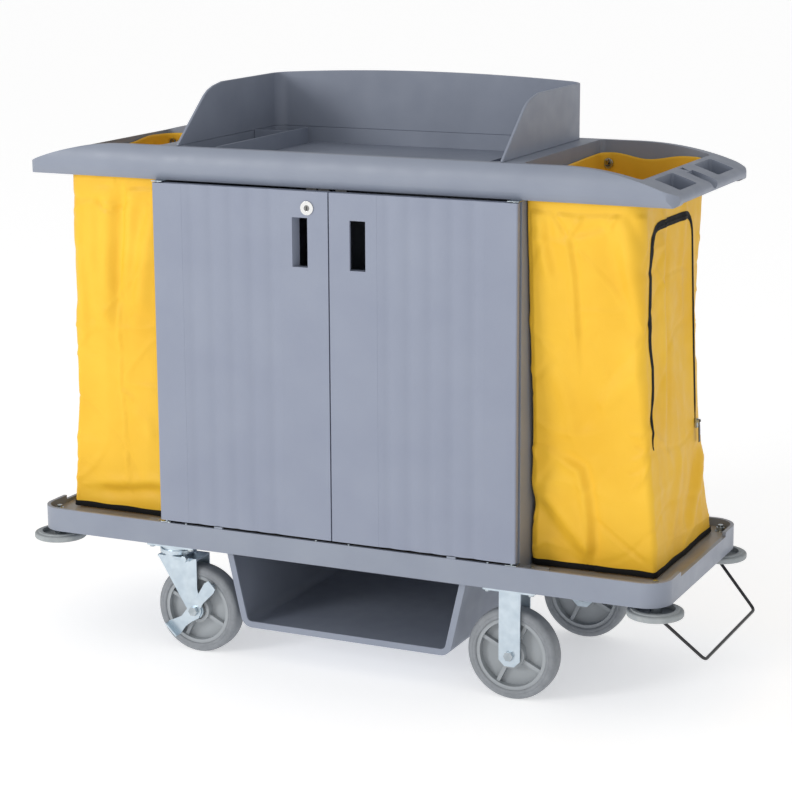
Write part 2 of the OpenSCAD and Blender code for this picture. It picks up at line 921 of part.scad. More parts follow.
// The right-hand bag: an open-topped vinyl bag with four eyelet holes
module bag() {
    inner_foot = grown(bag_at(bag_foot_z + bag_t), -bag_t);
    inner_top = grown(bag_at(bag_top_z + 1), -bag_t);
    difference() {
        tapered_box(bag_foot, bag_top, bag_foot_z, bag_top_z);
        tapered_box(inner_foot, inner_top, bag_foot_z + bag_t, bag_top_z + 1);
        for (x = hook_places)
            rod_y(eyelet_r + 0.5, x, hook_z, -tray_w, tray_w);
    }
}
eyelet_r = eyelet_d / 2 - 4.5;
hook_places = [opening_in + hook_in, opening_out - hook_in];

module bag_right() color(vinyl) bag();
module bag_left() color(vinyl) mirror([1, 0, 0]) bag();

// Black binding round the foot of each bag
module bag_bindings() color(black) {
    low = bag_foot_z + 0.5;
    high = low + binding_h;
    for (x = [0, 1])
        mirror([x, 0, 0])
            difference() {
                tapered_box(grown(bag_at(low), 1.8), grown(bag_at(high), 1.8), low, high);
                tapered_box(grown(bag_at(low - 1), 0.3), grown(bag_at(high + 1), 0.3), low - 1, high + 1);
            }
}

// Metal eyelets on the inner face of each bag
module bag_eyelets() color(zinc) {
    edge = min(-bag_at(hook_z)[2], bag_at(hook_z)[3]) - bag_t - 0.9;
    for (side = [-1, 1], x = hook_places, y = [-1, 1])
        translate([side * x, y * edge, hook_z])
            rotate([y * 90, 0, 0])
                difference() {
                    cylinder(d = eyelet_d, h = 2);
                    translate([0, 0, -1])
                        cylinder(r = eyelet_r, h = 4);
                }
}

// Hooks on the walls of the bag openings, one through each eyelet
module bag_hooks() color(zinc) {
    for (side = [-1, 1], x = hook_places, y = [0, 1])
        mirror([0, y, 0])
            translate([side * x, -opening_y, hook_z]) {
                box([-6, 0, -6], [6, 2, 18]);
                rod_y(3, 0, 0, 1, 20);
                wire([0, 18, 0], [0, 22, 9], 3);
            }
}

// ---------------------------------------------------------------- zip

// Places a child on the right-hand bag's end face: local X runs to +Y, local Y runs up
// the face, and local Z stands out of it
module on_end_face() {
    translate([bag_foot[1], 0, bag_foot_z])
        rotate([0, -end_lean, 0])
            rotate([90, 0, 90])
                children();
}

zip_r = 42;
zip_branch = zip_mid_y + zip_w / 2 - zip_tape_w / 2;
zip_low = zip_top - zip_h;
slider_v = zip_low + 40;

// The zip's tape: an arch that opens the bag's end face
module zip_tape() color(black) {
    on_end_face()
        translate([zip_mid_y, zip_top - zip_h / 2, 0.3])
            linear_extrude(1.2)
                difference() {
                    rounded_rect(zip_w, zip_h, zip_r);
                    rounded_rect(zip_w - 2 * zip_tape_w, zip_h - 2 * zip_tape_w, zip_r - zip_tape_w);
                    translate([-zip_w, -zip_h / 2 - 1])
                        square([2 * zip_w, zip_r + 1]);
                }
}

// The slider, with the little bridge that holds its pull
module zip_slider() color(zinc) {
    on_end_face()
        translate([zip_branch, slider_v, 0]) {
            box([-6, -10, 1.9], [6, 10, 5]);
            for (x = [-1, 1])
                box([x * 4.6 - 1, 2, 4.5], [x * 4.6 + 1, 8, 10.5]);
            translate([-5, 5, 9])
                rotate([0, 90, 0])
                    cylinder(r = 1.5, h = 10);
        }
}

// The pull, hanging from the bridge
module zip_pull() color(black) {
    on_end_face()
        translate([zip_branch, slider_v + 5, 9])
            difference() {
                union() {
                    translate([-2.8, 0, 0])
                        rotate([0, 90, 0])
                            cylinder(r = 3.4, h = 5.6);
                    box([-2.8, -12, -1], [2.8, 0, 1]);
                    box([-4.5, -46, -1], [4.5, -11, 1]);
                }
                translate([-4, 0, 0])
                    rotate([0, 90, 0])
                        cylinder(r = 1.5 + run, h = 8);
            }
}

// ---------------------------------------------------------------- bumpers and rack

bumper_top = deck_z - bumper_drop;
bumper_z = bumper_top - bumper_t;
recess_r = bumper_d / 2 - 18;

// A soft ring with a rounded edge
module bumper_ring(x, y) {
    r = bumper_d / 2;
    e = 4;
    translate([x * bumper_x, y * bumper_y, bumper_z])
        rotate_extrude() {
            translate([recess_r, 0])
                square([r - recess_r - e, bumper_t - 3]);
            translate([recess_r, 0])
                square([9, bumper_t]);
            translate([recess_r, e])
                square([r - recess_r, bumper_t - 3 - 2 * e]);
            for (z = [e, bumper_t - 3 - e])
                translate([r - e, z])
                    circle(e);
        }
}

// The hard hub that turns on the bolt
module bumper_hub(x, y) {
    translate([x * bumper_x, y * bumper_y, bumper_z])
        difference() {
            union() {
                translate([0, 0, 2])
                    cylinder(r = recess_r, h = 5);
                cylinder(r = 15, h = 9);
            }
            translate([0, 0, -1])
                cylinder(r = axle_d / 2 + run, h = bumper_t);
        }
}

module bumper_ring_front_left() color(core_grey) bumper_ring(-1, -1);
module bumper_ring_front_right() color(core_grey) bumper_ring(1, -1);
module bumper_ring_rear_left() color(core_grey) bumper_ring(-1, 1);
module bumper_ring_rear_right() color(core_grey) bumper_ring(1, 1);
module bumper_hub_front_left() color(tyre_grey) bumper_hub(-1, -1);
module bumper_hub_front_right() color(tyre_grey) bumper_hub(1, -1);
module bumper_hub_rear_left() color(tyre_grey) bumper_hub(-1, 1);
module bumper_hub_rear_right() color(tyre_grey) bumper_hub(1, 1);

// Bolts with the head below, and a washer and nut on the deck's floor
module bumper_bolts() color(zinc) {
    for (x = [-1, 1], y = [-1, 1])
        translate([x * bumper_x, y * bumper_y, 0]) {
            head_top = bumper_z - gap - (x > 0 ? wire_d : 0);
            translate([0, 0, head_top - 7])
                cylinder(r = 10.5, h = 7, $fn = 6);
            translate([0, 0, head_top - eps])
                cylinder(d = axle_d, h = floor_z + 15 - head_top);
            translate([0, 0, floor_z])
                cylinder(r = 12, h = 1.5);
            translate([0, 0, floor_z + 1.5 - eps])
                cylinder(r = 10, h = 8, $fn = 6);
        }
}

// Tubes that hold the bumpers below the deck
module bumper_spacers() color(zinc) {
    low = bumper_z + 9 + gap;
    at_bumpers()
        translate([0, 0, low])
            difference() {
                cylinder(r = 13, h = deck_z + 3 - low);
                translate([0, 0, -1])
                    cylinder(r = axle_d / 2 + 0.3, h = deck_h);
            }
}

// A bent wire bracket whose flattened eyes are clamped by the two right-hand bumper bolts
module wire_rack() color(black) {
    r = wire_d / 2;
    z = bumper_z - gap - r;
    eye_r = axle_d / 2 + 0.2 + r;
    low = [bumper_x + rack_out, rack_bar / 2, z - rack_down];
    start = [bumper_x + 6, bumper_y - eye_r - 1, z];
    for (y = [0, 1])
        mirror([0, y, 0]) {
            translate([bumper_x, bumper_y, z - r])
                difference() {
                    cylinder(r = eye_r + r, h = wire_d);
                    translate([0, 0, -1])
                        cylinder(r = eye_r - r, h = wire_d + 2);
                }
            wire(start, low, r);
            translate(low)
                sphere(r + 0.4, $fn = 32);
        }
    wire([low[0], -low[1], low[2]], low, r);
}

// ---------------------------------------------------------------- casters

// Repeats a piece at the four bolt holes of a caster plate
module at_plate_bolts() {
    for (x = [-1, 1], y = [-1, 1])
        translate([x * bolt_l / 2, y * bolt_w / 2, 0])
            children();
}

// A caster plate, bolted up under the deck
module caster_plate() {
    difference() {
        slab(plate_l, plate_w, 8, deck_z - plate_t, plate_t);
        at_plate_bolts()
            translate([0, 0, deck_z - plate_t - 1])
                cylinder(d = bolt_d + 0.2, h = plate_t + 2);
    }
}

module caster_bolts() color(zinc) {
    for (x = [-1, 1])
        at_casters(x)
            at_plate_bolts() {
                translate([0, 0, deck_z - plate_t - 5])
                    cylinder(r = bolt_d * 0.85, h = 5, $fn = 6);
                translate([0, 0, deck_z - plate_t - eps])
                    cylinder(d = bolt_d, h = plate_t + 20);
            }
}

// Swivel plates, each with its riveted pin
module swivel_plates() color(zinc) {
    at_casters(-1) {
        caster_plate();
        translate([0, 0, crown_z - gap - 6])
            cylinder(r = king_d / 2 + 5, h = 6);
        translate([0, 0, crown_z - gap - eps])
            cylinder(d = king_d, h = deck_z - plate_t - crown_z + gap + 2 * eps);
    }
}

// Side view of a swivelling fork's leg: broad at the crown, round at the axle
module swivel_leg() {
    polygon([
        [-37, crown_top], [trail + 6, crown_top], [trail + 6, axle_z + wheel_r * 0.5],
        [trail + 20, axle_z], [trail - 20, axle_z],
    ]);
    translate([trail, axle_z])
        circle(20);
}

// A swivelling fork, with its swivel pin on the local Z axis
module swivel_fork() {
    difference() {
        union() {
            box([-37, -leg_out, crown_z], [trail + 6, leg_out, crown_top]);
            for (y = [-leg_out, leg_in])
                along_y(y, y + leg_t)
                    swivel_leg();
            // Raceway housing
            translate([0, 0, crown_top - eps])
                cylinder(r = 34, h = 8);
            translate([0, 0, crown_top + 6])
                cylinder(r = 41, h = 9);
            translate([0, 0, crown_top + 14])
                cylinder(r = 37, h = deck_z - plate_t - gap - crown_top - 14);
            // Bracket and nut of the swivel's grease point
            box([6, -leg_out - 12, crown_z + 1], [trail - 6, -leg_out + eps, crown_top + 4]);
            hex_y(8, 40, crown_top + 2, -leg_out - 19, -leg_out - 11);
        }
        translate([0, 0, crown_z - 1])
            cylinder(r = king_d / 2 + run, h = 40);
        rod_y(axle_d / 2 + 0.1, trail, axle_z, -leg_out - 1, leg_out + 1);
    }
}

// A fixed fork: a plate with two straight legs, chamfered at their feet
module fixed_fork() {
    foot = axle_z - leg_w / 2;
    c = 13;
    difference() {
        union() {
            caster_plate();
            for (y = [-leg_out, leg_in])
                along_y(y, y + leg_t)
                    polygon([
                        [-leg_w / 2, deck_z - plate_t + eps], [leg_w / 2, deck_z - plate_t + eps],
                        [leg_w / 2, foot + c], [leg_w / 2 - c, foot],
                        [-leg_w / 2 + c, foot], [-leg_w / 2, foot + c],
                    ]);
            box(
                [-leg_w / 2, -leg_out, deck_z - plate_t - leg_t],
                [leg_w / 2, leg_out, deck_z - plate_t + eps]
            );
        }
        rod_y(axle_d / 2 + 0.1, 0, axle_z, -leg_out - 1, leg_out + 1);
    }
}

module at_caster(x, y) {
    translate([x * caster_x, y * caster_y, 0])
        children();
}

module fork_front_left() color(zinc) at_caster(-1, -1) swivel_fork();
module fork_rear_left() color(zinc) at_caster(-1, 1) swivel_fork();
module fork_front_right() color(zinc) at_caster(1, -1) fixed_fork();
module fork_rear_right() color(zinc) at_caster(1, 1) fixed_fork();

// An axle bolt with its nut; reach is where the head starts in front of the wheel
module axle(x, reach) {
    difference() {
        union() {
            hex_y(11, x, axle_z, -reach - 7.5, -reach);
            rod_y(axle_d / 2, x, axle_z, -reach - eps, leg_out + 12);
        }
        rod_y(1.5, x, axle_z, leg_out + 8, leg_out + 13);
    }
    difference() {
        hex_y(11, x, axle_z, leg_out, leg_out + 9);
        rod_y(axle_d / 2 + 0.05, x, axle_z, leg_out - 1, leg_out + 10);
    }
}

lever_reach = lever_in + lever_t + gap;

module axle_front_left() color(zinc) at_caster(-1, -1) axle(trail, lever_reach);
module axle_rear_left() color(zinc) at_caster(-1, 1) axle(trail, lever_reach);
module axle_front_right() color(zinc) at_caster(1, -1) axle(0, leg_out);
module axle_rear_right() color(zinc) at_caster(1, 1) axle(0, leg_out);

// A stamped brake lever that turns on the axle, outside the fork's front leg
module brake_lever() {
    pad = [46, 63];
    toe = [-52, -46];
    difference() {
        union() {
            along_y(-lever_in - lever_t, -lever_in)
                translate([trail, axle_z]) {
                    circle(17);
                    polygon([
                        pad + [-19, 4], pad + [-8, 11], pad + [8, -7], pad + [3, -17], [23, 20],
                        [15, 6], [11, -16], [-6, -26], [-22, -38], toe + [14, -14],
                        toe + [-14, 14], [-33, -16], [-19, 2], [-14, 14], [4, 30], [17, 50],
                    ]);
                }
            // Pad turned in towards the tyre's side
            box(
                [trail + pad[0] - 6, -lever_in - eps, axle_z + pad[1] - 8],
                [trail + pad[0] + 2, -tyre_w / 2 - 1.2, axle_z + pad[1] + 2]
            );
            // Foot tab turned out at the toe
            translate([trail + toe[0], 0, axle_z + toe[1]])
                rotate([0, 45, 0])
                    box([-19, -lever_in - lever_t - 14, -4], [19, -lever_in - lever_t + eps, 0]);
        }
        rod_y(axle_d / 2 + run, trail, axle_z, -lever_reach - 1, 0);
    }
}

module brake_lever_front() color(zinc) at_caster(-1, -1) brake_lever();
module brake_lever_rear() color(zinc) at_caster(-1, 1) brake_lever();

// ---------------------------------------------------------------- wheels

hub_r = 30;
hub_half = leg_in - 1.5;
rim_half = tyre_w / 2 - 2.5;

// A moulded wheel core: rim, web, hub and four ribs on each face
module wheel_core(x) {
    translate([x, 0, axle_z])
        rotate([-90, 0, 0])
            difference() {
                union() {
                    rotate_extrude() {
                        translate([rim_r - 8, -rim_half])
                            square([8, 2 * rim_half]);
                        translate([hub_r - 1, -4])
                            square([rim_r - hub_r - 6, 8]);
                        translate([hub_r - 7, -hub_half + 3])
                            square([7, 2 * hub_half - 6]);
                        translate([0, -hub_half])
                            square([9, 2 * hub_half]);
                        translate([0, -hub_half + 3])
                            square([18, 2 * hub_half - 6]);
                        translate([8, -hub_half + 8])
                            square([hub_r - 10, 2 * hub_half - 16]);
                    }
                    for (a = [0 : 3])
                        rotate([0, 0, 26 + 90 * a])
                            translate([hub_r - 2, -4, -rim_half + 4])
                                cube([rim_r - 4 - hub_r, 8, 2 * rim_half - 8]);
                }
                translate([0, 0, -hub_half - 1])
                    cylinder(r = axle_d / 2 + run, h = 2 * hub_half + 2);
            }
}

// A tyre with round shoulders, moulded on the core
module tyre(x) {
    crown = tyre_w / 2 - shoulder_r;
    translate([x, 0, axle_z])
        rotate([-90, 0, 0])
            rotate_extrude()
                intersection() {
                    union() {
                        translate([rim_r, -tyre_w / 2])
                            square([tyre_t - shoulder_r, tyre_w]);
                        translate([rim_r, -crown])
                            square([tyre_t, 2 * crown]);
                        for (y = [-crown, crown])
                            translate([wheel_r - shoulder_r, y])
                                circle(shoulder_r);
                    }
                    translate([rim_r, -tyre_w / 2 - 1])
                        square([tyre_t + 1, tyre_w + 2]);
                }
}

module wheel_core_front_left() color(core_grey) at_caster(-1, -1) wheel_core(trail);
module wheel_core_rear_left() color(core_grey) at_caster(-1, 1) wheel_core(trail);
module wheel_core_front_right() color(core_grey) at_caster(1, -1) wheel_core(0);
module wheel_core_rear_right() color(core_grey) at_caster(1, 1) wheel_core(0);
module tyre_front_left() color(tyre_grey) at_caster(-1, -1) tyre(trail);
module tyre_rear_left() color(tyre_grey) at_caster(-1, 1) tyre(trail);
module tyre_front_right() color(tyre_grey) at_caster(1, -1) tyre(0);
module tyre_rear_right() color(tyre_grey) at_caster(1, 1) tyre(0);

// ---------------------------------------------------------------- nodes

deck();
top_tray();
hood();
divider_left();
divider_right();
cabinet_side_left();
cabinet_side_right();
cabinet_back();
shelf_upper();
shelf_lower();
door_left();
door_right();
door_pivots();
lock_body();
lock_nut();
lock_plug();
lock_cam();
lock_strike();
door_magnets();
under_bin();
small_screws();
bag_left();
bag_right();
bag_bindings();
bag_eyelets();
bag_hooks();
zip_tape();
zip_slider();
zip_pull();
wire_rack();
bumper_bolts();
bumper_spacers();
bumper_ring_front_left();
bumper_ring_front_right();
bumper_ring_rear_left();
bumper_ring_rear_right();
bumper_hub_front_left();
bumper_hub_front_right();
bumper_hub_rear_left();
bumper_hub_rear_right();
caster_bolts();
swivel_plates();
fork_front_left();
fork_rear_left();
fork_front_right();
fork_rear_right();
axle_front_left();
axle_rear_left();
axle_front_right();
axle_rear_right();
wheel_core_front_left();
wheel_core_rear_left();
wheel_core_front_right();
wheel_core_rear_right();
tyre_front_left();
tyre_rear_left();
tyre_front_right();
tyre_rear_right();
brake_lever_front();
brake_lever_rear();
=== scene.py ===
import math

import bpy
import numpy as np
from mathutils import Matrix, Vector


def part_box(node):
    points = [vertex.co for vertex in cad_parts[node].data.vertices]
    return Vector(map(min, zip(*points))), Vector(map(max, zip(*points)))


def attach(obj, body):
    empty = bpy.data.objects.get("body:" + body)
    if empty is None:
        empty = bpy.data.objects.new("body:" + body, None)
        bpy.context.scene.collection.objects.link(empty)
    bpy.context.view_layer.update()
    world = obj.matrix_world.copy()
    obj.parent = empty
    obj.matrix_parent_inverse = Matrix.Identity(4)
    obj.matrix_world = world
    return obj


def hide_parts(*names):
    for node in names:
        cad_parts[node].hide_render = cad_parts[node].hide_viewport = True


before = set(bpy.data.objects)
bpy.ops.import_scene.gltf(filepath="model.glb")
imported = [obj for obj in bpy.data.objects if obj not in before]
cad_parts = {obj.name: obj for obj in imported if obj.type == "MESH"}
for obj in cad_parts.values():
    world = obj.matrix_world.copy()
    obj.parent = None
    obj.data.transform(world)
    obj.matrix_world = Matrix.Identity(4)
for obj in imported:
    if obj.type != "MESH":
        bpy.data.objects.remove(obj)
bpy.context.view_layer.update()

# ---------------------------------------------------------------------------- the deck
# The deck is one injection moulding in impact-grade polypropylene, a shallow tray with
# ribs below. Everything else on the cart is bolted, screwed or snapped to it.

MM = 0.001


def srgb(code, alpha=1.0):
    """An sRGB hex colour as linear light."""
    parts = [int(code[i:i + 2], 16) / 255 for i in (0, 2, 4)]
    return tuple(c / 12.92 if c <= 0.04045 else ((c + 0.055) / 1.055) ** 2.4 for c in parts) + (alpha,)


def put(tree, kind, settings=None, wires=None):
    """Adds a node with its settings, and wires its inputs to the sockets given."""
    made = tree.nodes.new(kind)
    for key, value in (settings or {}).items():
        if isinstance(key, int) or key in made.inputs:
            made.inputs[key].default_value = value
        else:
            setattr(made, key, value)
    for key, socket in (wires or {}).items():
        tree.links.new(socket, made.inputs[key])
    return made


def new_finish(name, roughness, metallic=0.0):
    """An empty material: its node tree, its surface shader and its object coordinates."""
    material = bpy.data.materials.new(name)
    material.use_nodes = True
    tree = material.node_tree
    shader = tree.nodes["Principled BSDF"]
    shader.inputs["Roughness"].default_value = roughness
    shader.inputs["Metallic"].default_value = metallic
    place = put(tree, "ShaderNodeTexCoord").outputs["Object"]
    return material, tree, shader, place


def moulded_plastic(name, light, dark, roughness=0.46, grain=0.35):
    """Injection-moulded polypropylene from a spark-eroded mould: an even satin with a fine
    grain, and slow, faint clouds of colour where the melt flowed."""
    material, tree, shader, place = new_finish(name, roughness)
    shader.inputs["IOR"].default_value = 1.49
    # Flow clouds, about 120 mm across
    cloud = put(tree, "ShaderNodeTexNoise", {"Scale": 8.0, "Detail": 3.0}, {"Vector": place})
    spread = put(tree, "ShaderNodeMapRange", {1: 0.3, 2: 0.7}, {0: cloud.outputs[0]})
    colour = put(tree, "ShaderNodeMix", {"data_type": "RGBA", 6: srgb(light), 7: srgb(dark)},
                 {0: spread.outputs[0]})
    tree.links.new(colour.outputs[2], shader.inputs["Base Color"])
    # Handling leaves slightly smoother and duller patches, about 40 mm across
    patch = put(tree, "ShaderNodeTexNoise", {"Scale": 26.0, "Detail": 2.0}, {"Vector": place})
    gloss = put(tree, "ShaderNodeMapRange", {1: 0.3, 2: 0.7, 3: roughness - 0.05, 4: roughness + 0.07},
                {0: patch.outputs[0]})
    tree.links.new(gloss.outputs[0], shader.inputs["Roughness"])
    # The mould's grain is 0.3 mm and too fine to show, so it is drawn at 1.2 mm
    fine = put(tree, "ShaderNodeTexNoise", {"Scale": 850.0, "Detail": 2.0}, {"Vector": place})
    bump = put(tree, "ShaderNodeBump", {"Strength": grain, "Distance": 0.12 * MM},
               {"Height": fine.outputs[0]})
    tree.links.new(bump.outputs[0], shader.inputs["Normal"])
    return material


def soften(node, radius, finish, segments=2, angle=35):
    """Gives a CAD piece its finish, and rounds its edges as a mould or a press leaves them."""
    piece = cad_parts[node]
    piece.data.materials.clear()
    piece.data.materials.append(finish)
    for spare in ("custom_normal", "sharp_edge", "sharp_face"):
        if spare in piece.data.attributes:
            piece.data.attributes.remove(piece.data.attributes[spare])
    piece.data.polygons.foreach_set("use_smooth", [True] * len(piece.data.polygons))
    weld = piece.modifiers.new("weld", "WELD")
    weld.merge_threshold = 0.01 * MM
    flat = piece.modifiers.new("flat", "DECIMATE")
    flat.decimate_type = "DISSOLVE"
    flat.angle_limit = math.radians(0.2)
    edge = piece.modifiers.new("edge", "BEVEL")
    edge.width = radius * MM
    edge.segments = segments
    edge.limit_method = "ANGLE"
    edge.angle_limit = math.radians(angle)
    edge.harden_normals = True
    shade = piece.modifiers.new("shade", "WEIGHTED_NORMAL")
    shade.keep_sharp = False
    return piece


shell_plastic = moulded_plastic("blue_grey_polypropylene", "8A919F", "838A99")
deck_plastic = moulded_plastic("blue_grey_deck_polypropylene", "8A919F", "838A99", 0.34)
# The deck's floor is painted warmer and a little lighter: a painted reflection of the yellow bags, and
# painted light that lifts the shade under them
floor_reflection_paint = moulded_plastic("deck_floor_painted_reflection", "A59E94", "928B81", 0.34)
deck = soften("deck", 3.0, deck_plastic, 3)
deck.data.materials.append(floor_reflection_paint)
floor_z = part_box("cabinet_side_right")[0][2]
# The deck's upward faces at floor height take the painted reflection and painted light
for face in deck.data.polygons:
    if face.normal.z > 0.99 and abs(face.center.z - floor_z) < 3 * MM:
        face.material_index = 1
deck.modifiers["flat"].delimit = {"MATERIAL"}

# ---------------------------------------------------------------------------- the casters
# Four plate casters with 200 mm wheels. The forks, plates, levers and bolts are pressed and
# machined steel, zinc plated. The left pair swivels and brakes, and the right pair is fixed.


def zinc_plate(name, light, dark, roughness):
    """Bright zinc on pressed steel: a cool white metal, mottled where the bath took unevenly,
    with fine draw marks."""
    material, tree, shader, place = new_finish(name, roughness, 1.0)
    mottle = put(tree, "ShaderNodeTexNoise", {"Scale": 38.0, "Detail": 2.0}, {"Vector": place})
    spread = put(tree, "ShaderNodeMapRange", {1: 0.35, 2: 0.65}, {0: mottle.outputs[0]})
    colour = put(tree, "ShaderNodeMix", {"data_type": "RGBA", 6: srgb(light), 7: srgb(dark)},
                 {0: spread.outputs[0]})
    tree.links.new(colour.outputs[2], shader.inputs["Base Color"])
    gloss = put(tree, "ShaderNodeMapRange", {1: 0.3, 2: 0.7, 3: roughness - 0.08, 4: roughness + 0.1},
                {0: mottle.outputs[0]})
    tree.links.new(gloss.outputs[0], shader.inputs["Roughness"])
    stretched = put(tree, "ShaderNodeMapping", {"Scale": (1.0, 1.0, 0.12)}, {"Vector": place})
    marks = put(tree, "ShaderNodeTexNoise", {"Scale": 900.0, "Detail": 2.0},
                {"Vector": stretched.outputs[0]})
    bump = put(tree, "ShaderNodeBump", {"Strength": 0.25, "Distance": 0.08 * MM},
               {"Height": marks.outputs[0]})
    tree.links.new(bump.outputs[0], shader.inputs["Normal"])
    return material


fork_zinc = zinc_plate("zinc_plated_pressed_steel", "C6D2DB", "B7C4CE", 0.36)
bolt_zinc = zinc_plate("zinc_plated_bolt_steel", "B9C1C6", "A2ABB1", 0.28)
for node in ("swivel_plates", "fork_front_left", "fork_rear_left", "fork_front_right",
             "fork_rear_right", "brake_lever_front", "brake_lever_rear"):
    soften(node, 1.2, fork_zinc)
for node in ("caster_bolts", "axle_front_left", "axle_rear_left", "axle_front_right",
             "axle_rear_right"):
    soften(node, 0.9, bolt_zinc)

core_plastic = moulded_plastic("light_grey_wheel_polypropylene", "9EA3A7", "93989C", 0.4)


def tread_rubber(name, light, dark):
    """Grey thermoplastic rubber: matt, with faint scuffs and dust on the tread."""
    material, tree, shader, place = new_finish(name, 0.62)
    shader.inputs["IOR"].default_value = 1.5
    scuff = put(tree, "ShaderNodeTexNoise", {"Scale": 45.0, "Detail": 5.0, "Roughness": 0.65},
                {"Vector": place})
    spread = put(tree, "ShaderNodeMapRange", {1: 0.35, 2: 0.68}, {0: scuff.outputs[0]})
    colour = put(tree, "ShaderNodeMix", {"data_type": "RGBA", 6: srgb(dark), 7: srgb(light)},
                 {0: spread.outputs[0]})
    tree.links.new(colour.outputs[2], shader.inputs["Base Color"])
    fine = put(tree, "ShaderNodeTexNoise", {"Scale": 700.0, "Detail": 3.0}, {"Vector": place})
    bump = put(tree, "ShaderNodeBump", {"Strength": 0.4, "Distance": 0.15 * MM},
               {"Height": fine.outputs[0]})
    tree.links.new(bump.outputs[0], shader.inputs["Normal"])
    return material


tyre_rubber = tread_rubber("grey_tyre_rubber", "8A8E93", "7C8085")


def lathe(profile, centre, turns=120):
    """Turns a closed profile of (radius, along) pairs, in mm, about an axis along Y."""
    points, faces = [], []
    count = len(profile)
    for i in range(turns):
        a = 2 * math.pi * i / turns
        points += [((centre[0] + r * math.cos(a)) * MM, (centre[1] + y) * MM,
                    (centre[2] + r * math.sin(a)) * MM) for r, y in profile]
        j = (i + 1) % turns
        faces += [(i * count + k, i * count + (k + 1) % count, j * count + (k + 1) % count,
                   j * count + k) for k in range(count)]
    return points, faces


def piece(name, points, faces, finish, body, slot, replaces=(), smooth=True):
    """Makes a mesh piece in the shared frame and lets it ride on a CAD body."""
    mesh = bpy.data.meshes.new(name)
    mesh.from_pydata([tuple(p) for p in points], [], [tuple(int(i) for i in f) for f in faces])
    mesh.validate()
    mesh.polygons.foreach_set("use_smooth", [smooth] * len(mesh.polygons))
    mesh.materials.append(finish)
    made = bpy.data.objects.new(name, mesh)
    bpy.context.scene.collection.objects.link(made)
    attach(made, body)
    if replaces:
        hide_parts(*replaces)
    return made


for row in ("front", "rear"):
    for side in ("left", "right"):
        soften(f"wheel_core_{row}_{side}", 1.2, core_plastic)
        low, high = (np.array(c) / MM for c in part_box(f"tyre_{row}_{side}"))
        tyre_r, half = (high[0] - low[0]) / 2, (high[1] - low[1]) / 2
        # A crowned tread with soft shoulders and a shallow line round each sidewall
        shoulder, groove = 12.0, 13.0
        tread = [(tyre_r - 21.0, -half + 0.6), (tyre_r - 17.0, -half), (tyre_r - groove - 0.6, -half),
                 (tyre_r - groove, -half + 0.7), (tyre_r - groove + 0.6, -half)]
        tread += [(tyre_r - shoulder * (1 - math.sin(a)), -half + shoulder * (1 - math.cos(a)))
                  for a in np.radians(np.arange(0, 76, 9))]
        tread += [(tyre_r - 0.1, -half * 0.3)]
        tread += [(r, -y) for r, y in tread[::-1]]
        points, faces = lathe(tread, (low + high) / 2)
        piece(f"tyre_tread_{row}_{side}", points, faces, tyre_rubber, f"wheel_{row}_{side}",
              "tyre_rubber", [f"tyre_{row}_{side}"])

# ---------------------------------------------------------------------------- the bumpers
# A soft ring on a hard hub turns on a bolt below each corner of the deck, so that the cart
# rolls along a wall. The bolt's nut and washer show on the deck's floor.

bumper_rubber = tread_rubber("pale_grey_bumper_rubber", "A3A8AA", "92989B")
hub_plastic = moulded_plastic("dark_grey_hub_nylon", "70777C", "666C72", 0.4)
for row in ("front", "rear"):
    for side in ("left", "right"):
        soften(f"bumper_ring_{row}_{side}", 1.2, bumper_rubber)
        soften(f"bumper_hub_{row}_{side}", 0.8, hub_plastic)
soften("bumper_bolts", 1.0, bolt_zinc)
soften("bumper_spacers", 0.6, bolt_zinc)

# ---------------------------------------------------------------------------- the wire rack
# One length of 7 mm steel wire, bent cold and powder coated black. Its two eyes sit under the
# bumpers at the fixed-wheel end, held by the bumper bolts.


def rounded_path(corners, radius, step=6.0):
    """The corners joined by straight runs and arcs, as points no more than step apart."""
    path = [np.array(corners[0], float)]
    for before, here, after in zip(corners, corners[1:], corners[2:]):
        here = np.array(here, float)
        back, on = np.array(before, float) - here, np.array(after, float) - here
        a, b = back / np.linalg.norm(back), on / np.linalg.norm(on)
        turn = math.pi - math.acos(max(-1, min(1, a @ b)))
        cut = min(radius * math.tan(turn / 2), 0.45 * np.linalg.norm(back), 0.45 * np.linalg.norm(on))
        for t in np.linspace(0, 1, max(3, int(turn / 0.2))):
            path.append(here + a * cut * (1 - t) ** 2 + b * cut * t ** 2)
    path.append(np.array(corners[-1], float))
    filled = [path[0]]
    for p in path[1:]:
        count = max(1, int(np.linalg.norm(p - filled[-1]) / step))
        start = filled[-1]
        filled += [start + (p - start) * k / count for k in range(1, count + 1)]
    return np.array(filled)


def tube(path, radius, sides=14):
    """Sweeps a circle along a path, with closed ends, and no twist."""
    tangents = np.gradient(path, axis=0)
    tangents /= np.linalg.norm(tangents, axis=1)[:, None]
    across = np.cross(tangents[0], [0.0, 0.0, 1.0])
    if np.linalg.norm(across) < 0.1:
        across = np.cross(tangents[0], [1.0, 0.0, 0.0])
    points, faces = [], []
    for p, t in zip(path, tangents):
        across = across - t * (across @ t)
        across /= np.linalg.norm(across)
        other = np.cross(t, across)
        for k in range(sides):
            a = 2 * math.pi * k / sides
            points.append((p + radius * (math.cos(a) * across + math.sin(a) * other)) * MM)
    for i in range(len(path) - 1):
        for k in range(sides):
            n = (k + 1) % sides
            faces.append((i * sides + k, (i + 1) * sides + k, (i + 1) * sides + n, i * sides + n))
    last = (len(path) - 1) * sides
    faces.append(tuple(range(sides)))
    faces.append(tuple(last + sides - 1 - k for k in range(sides)))
    return points, faces


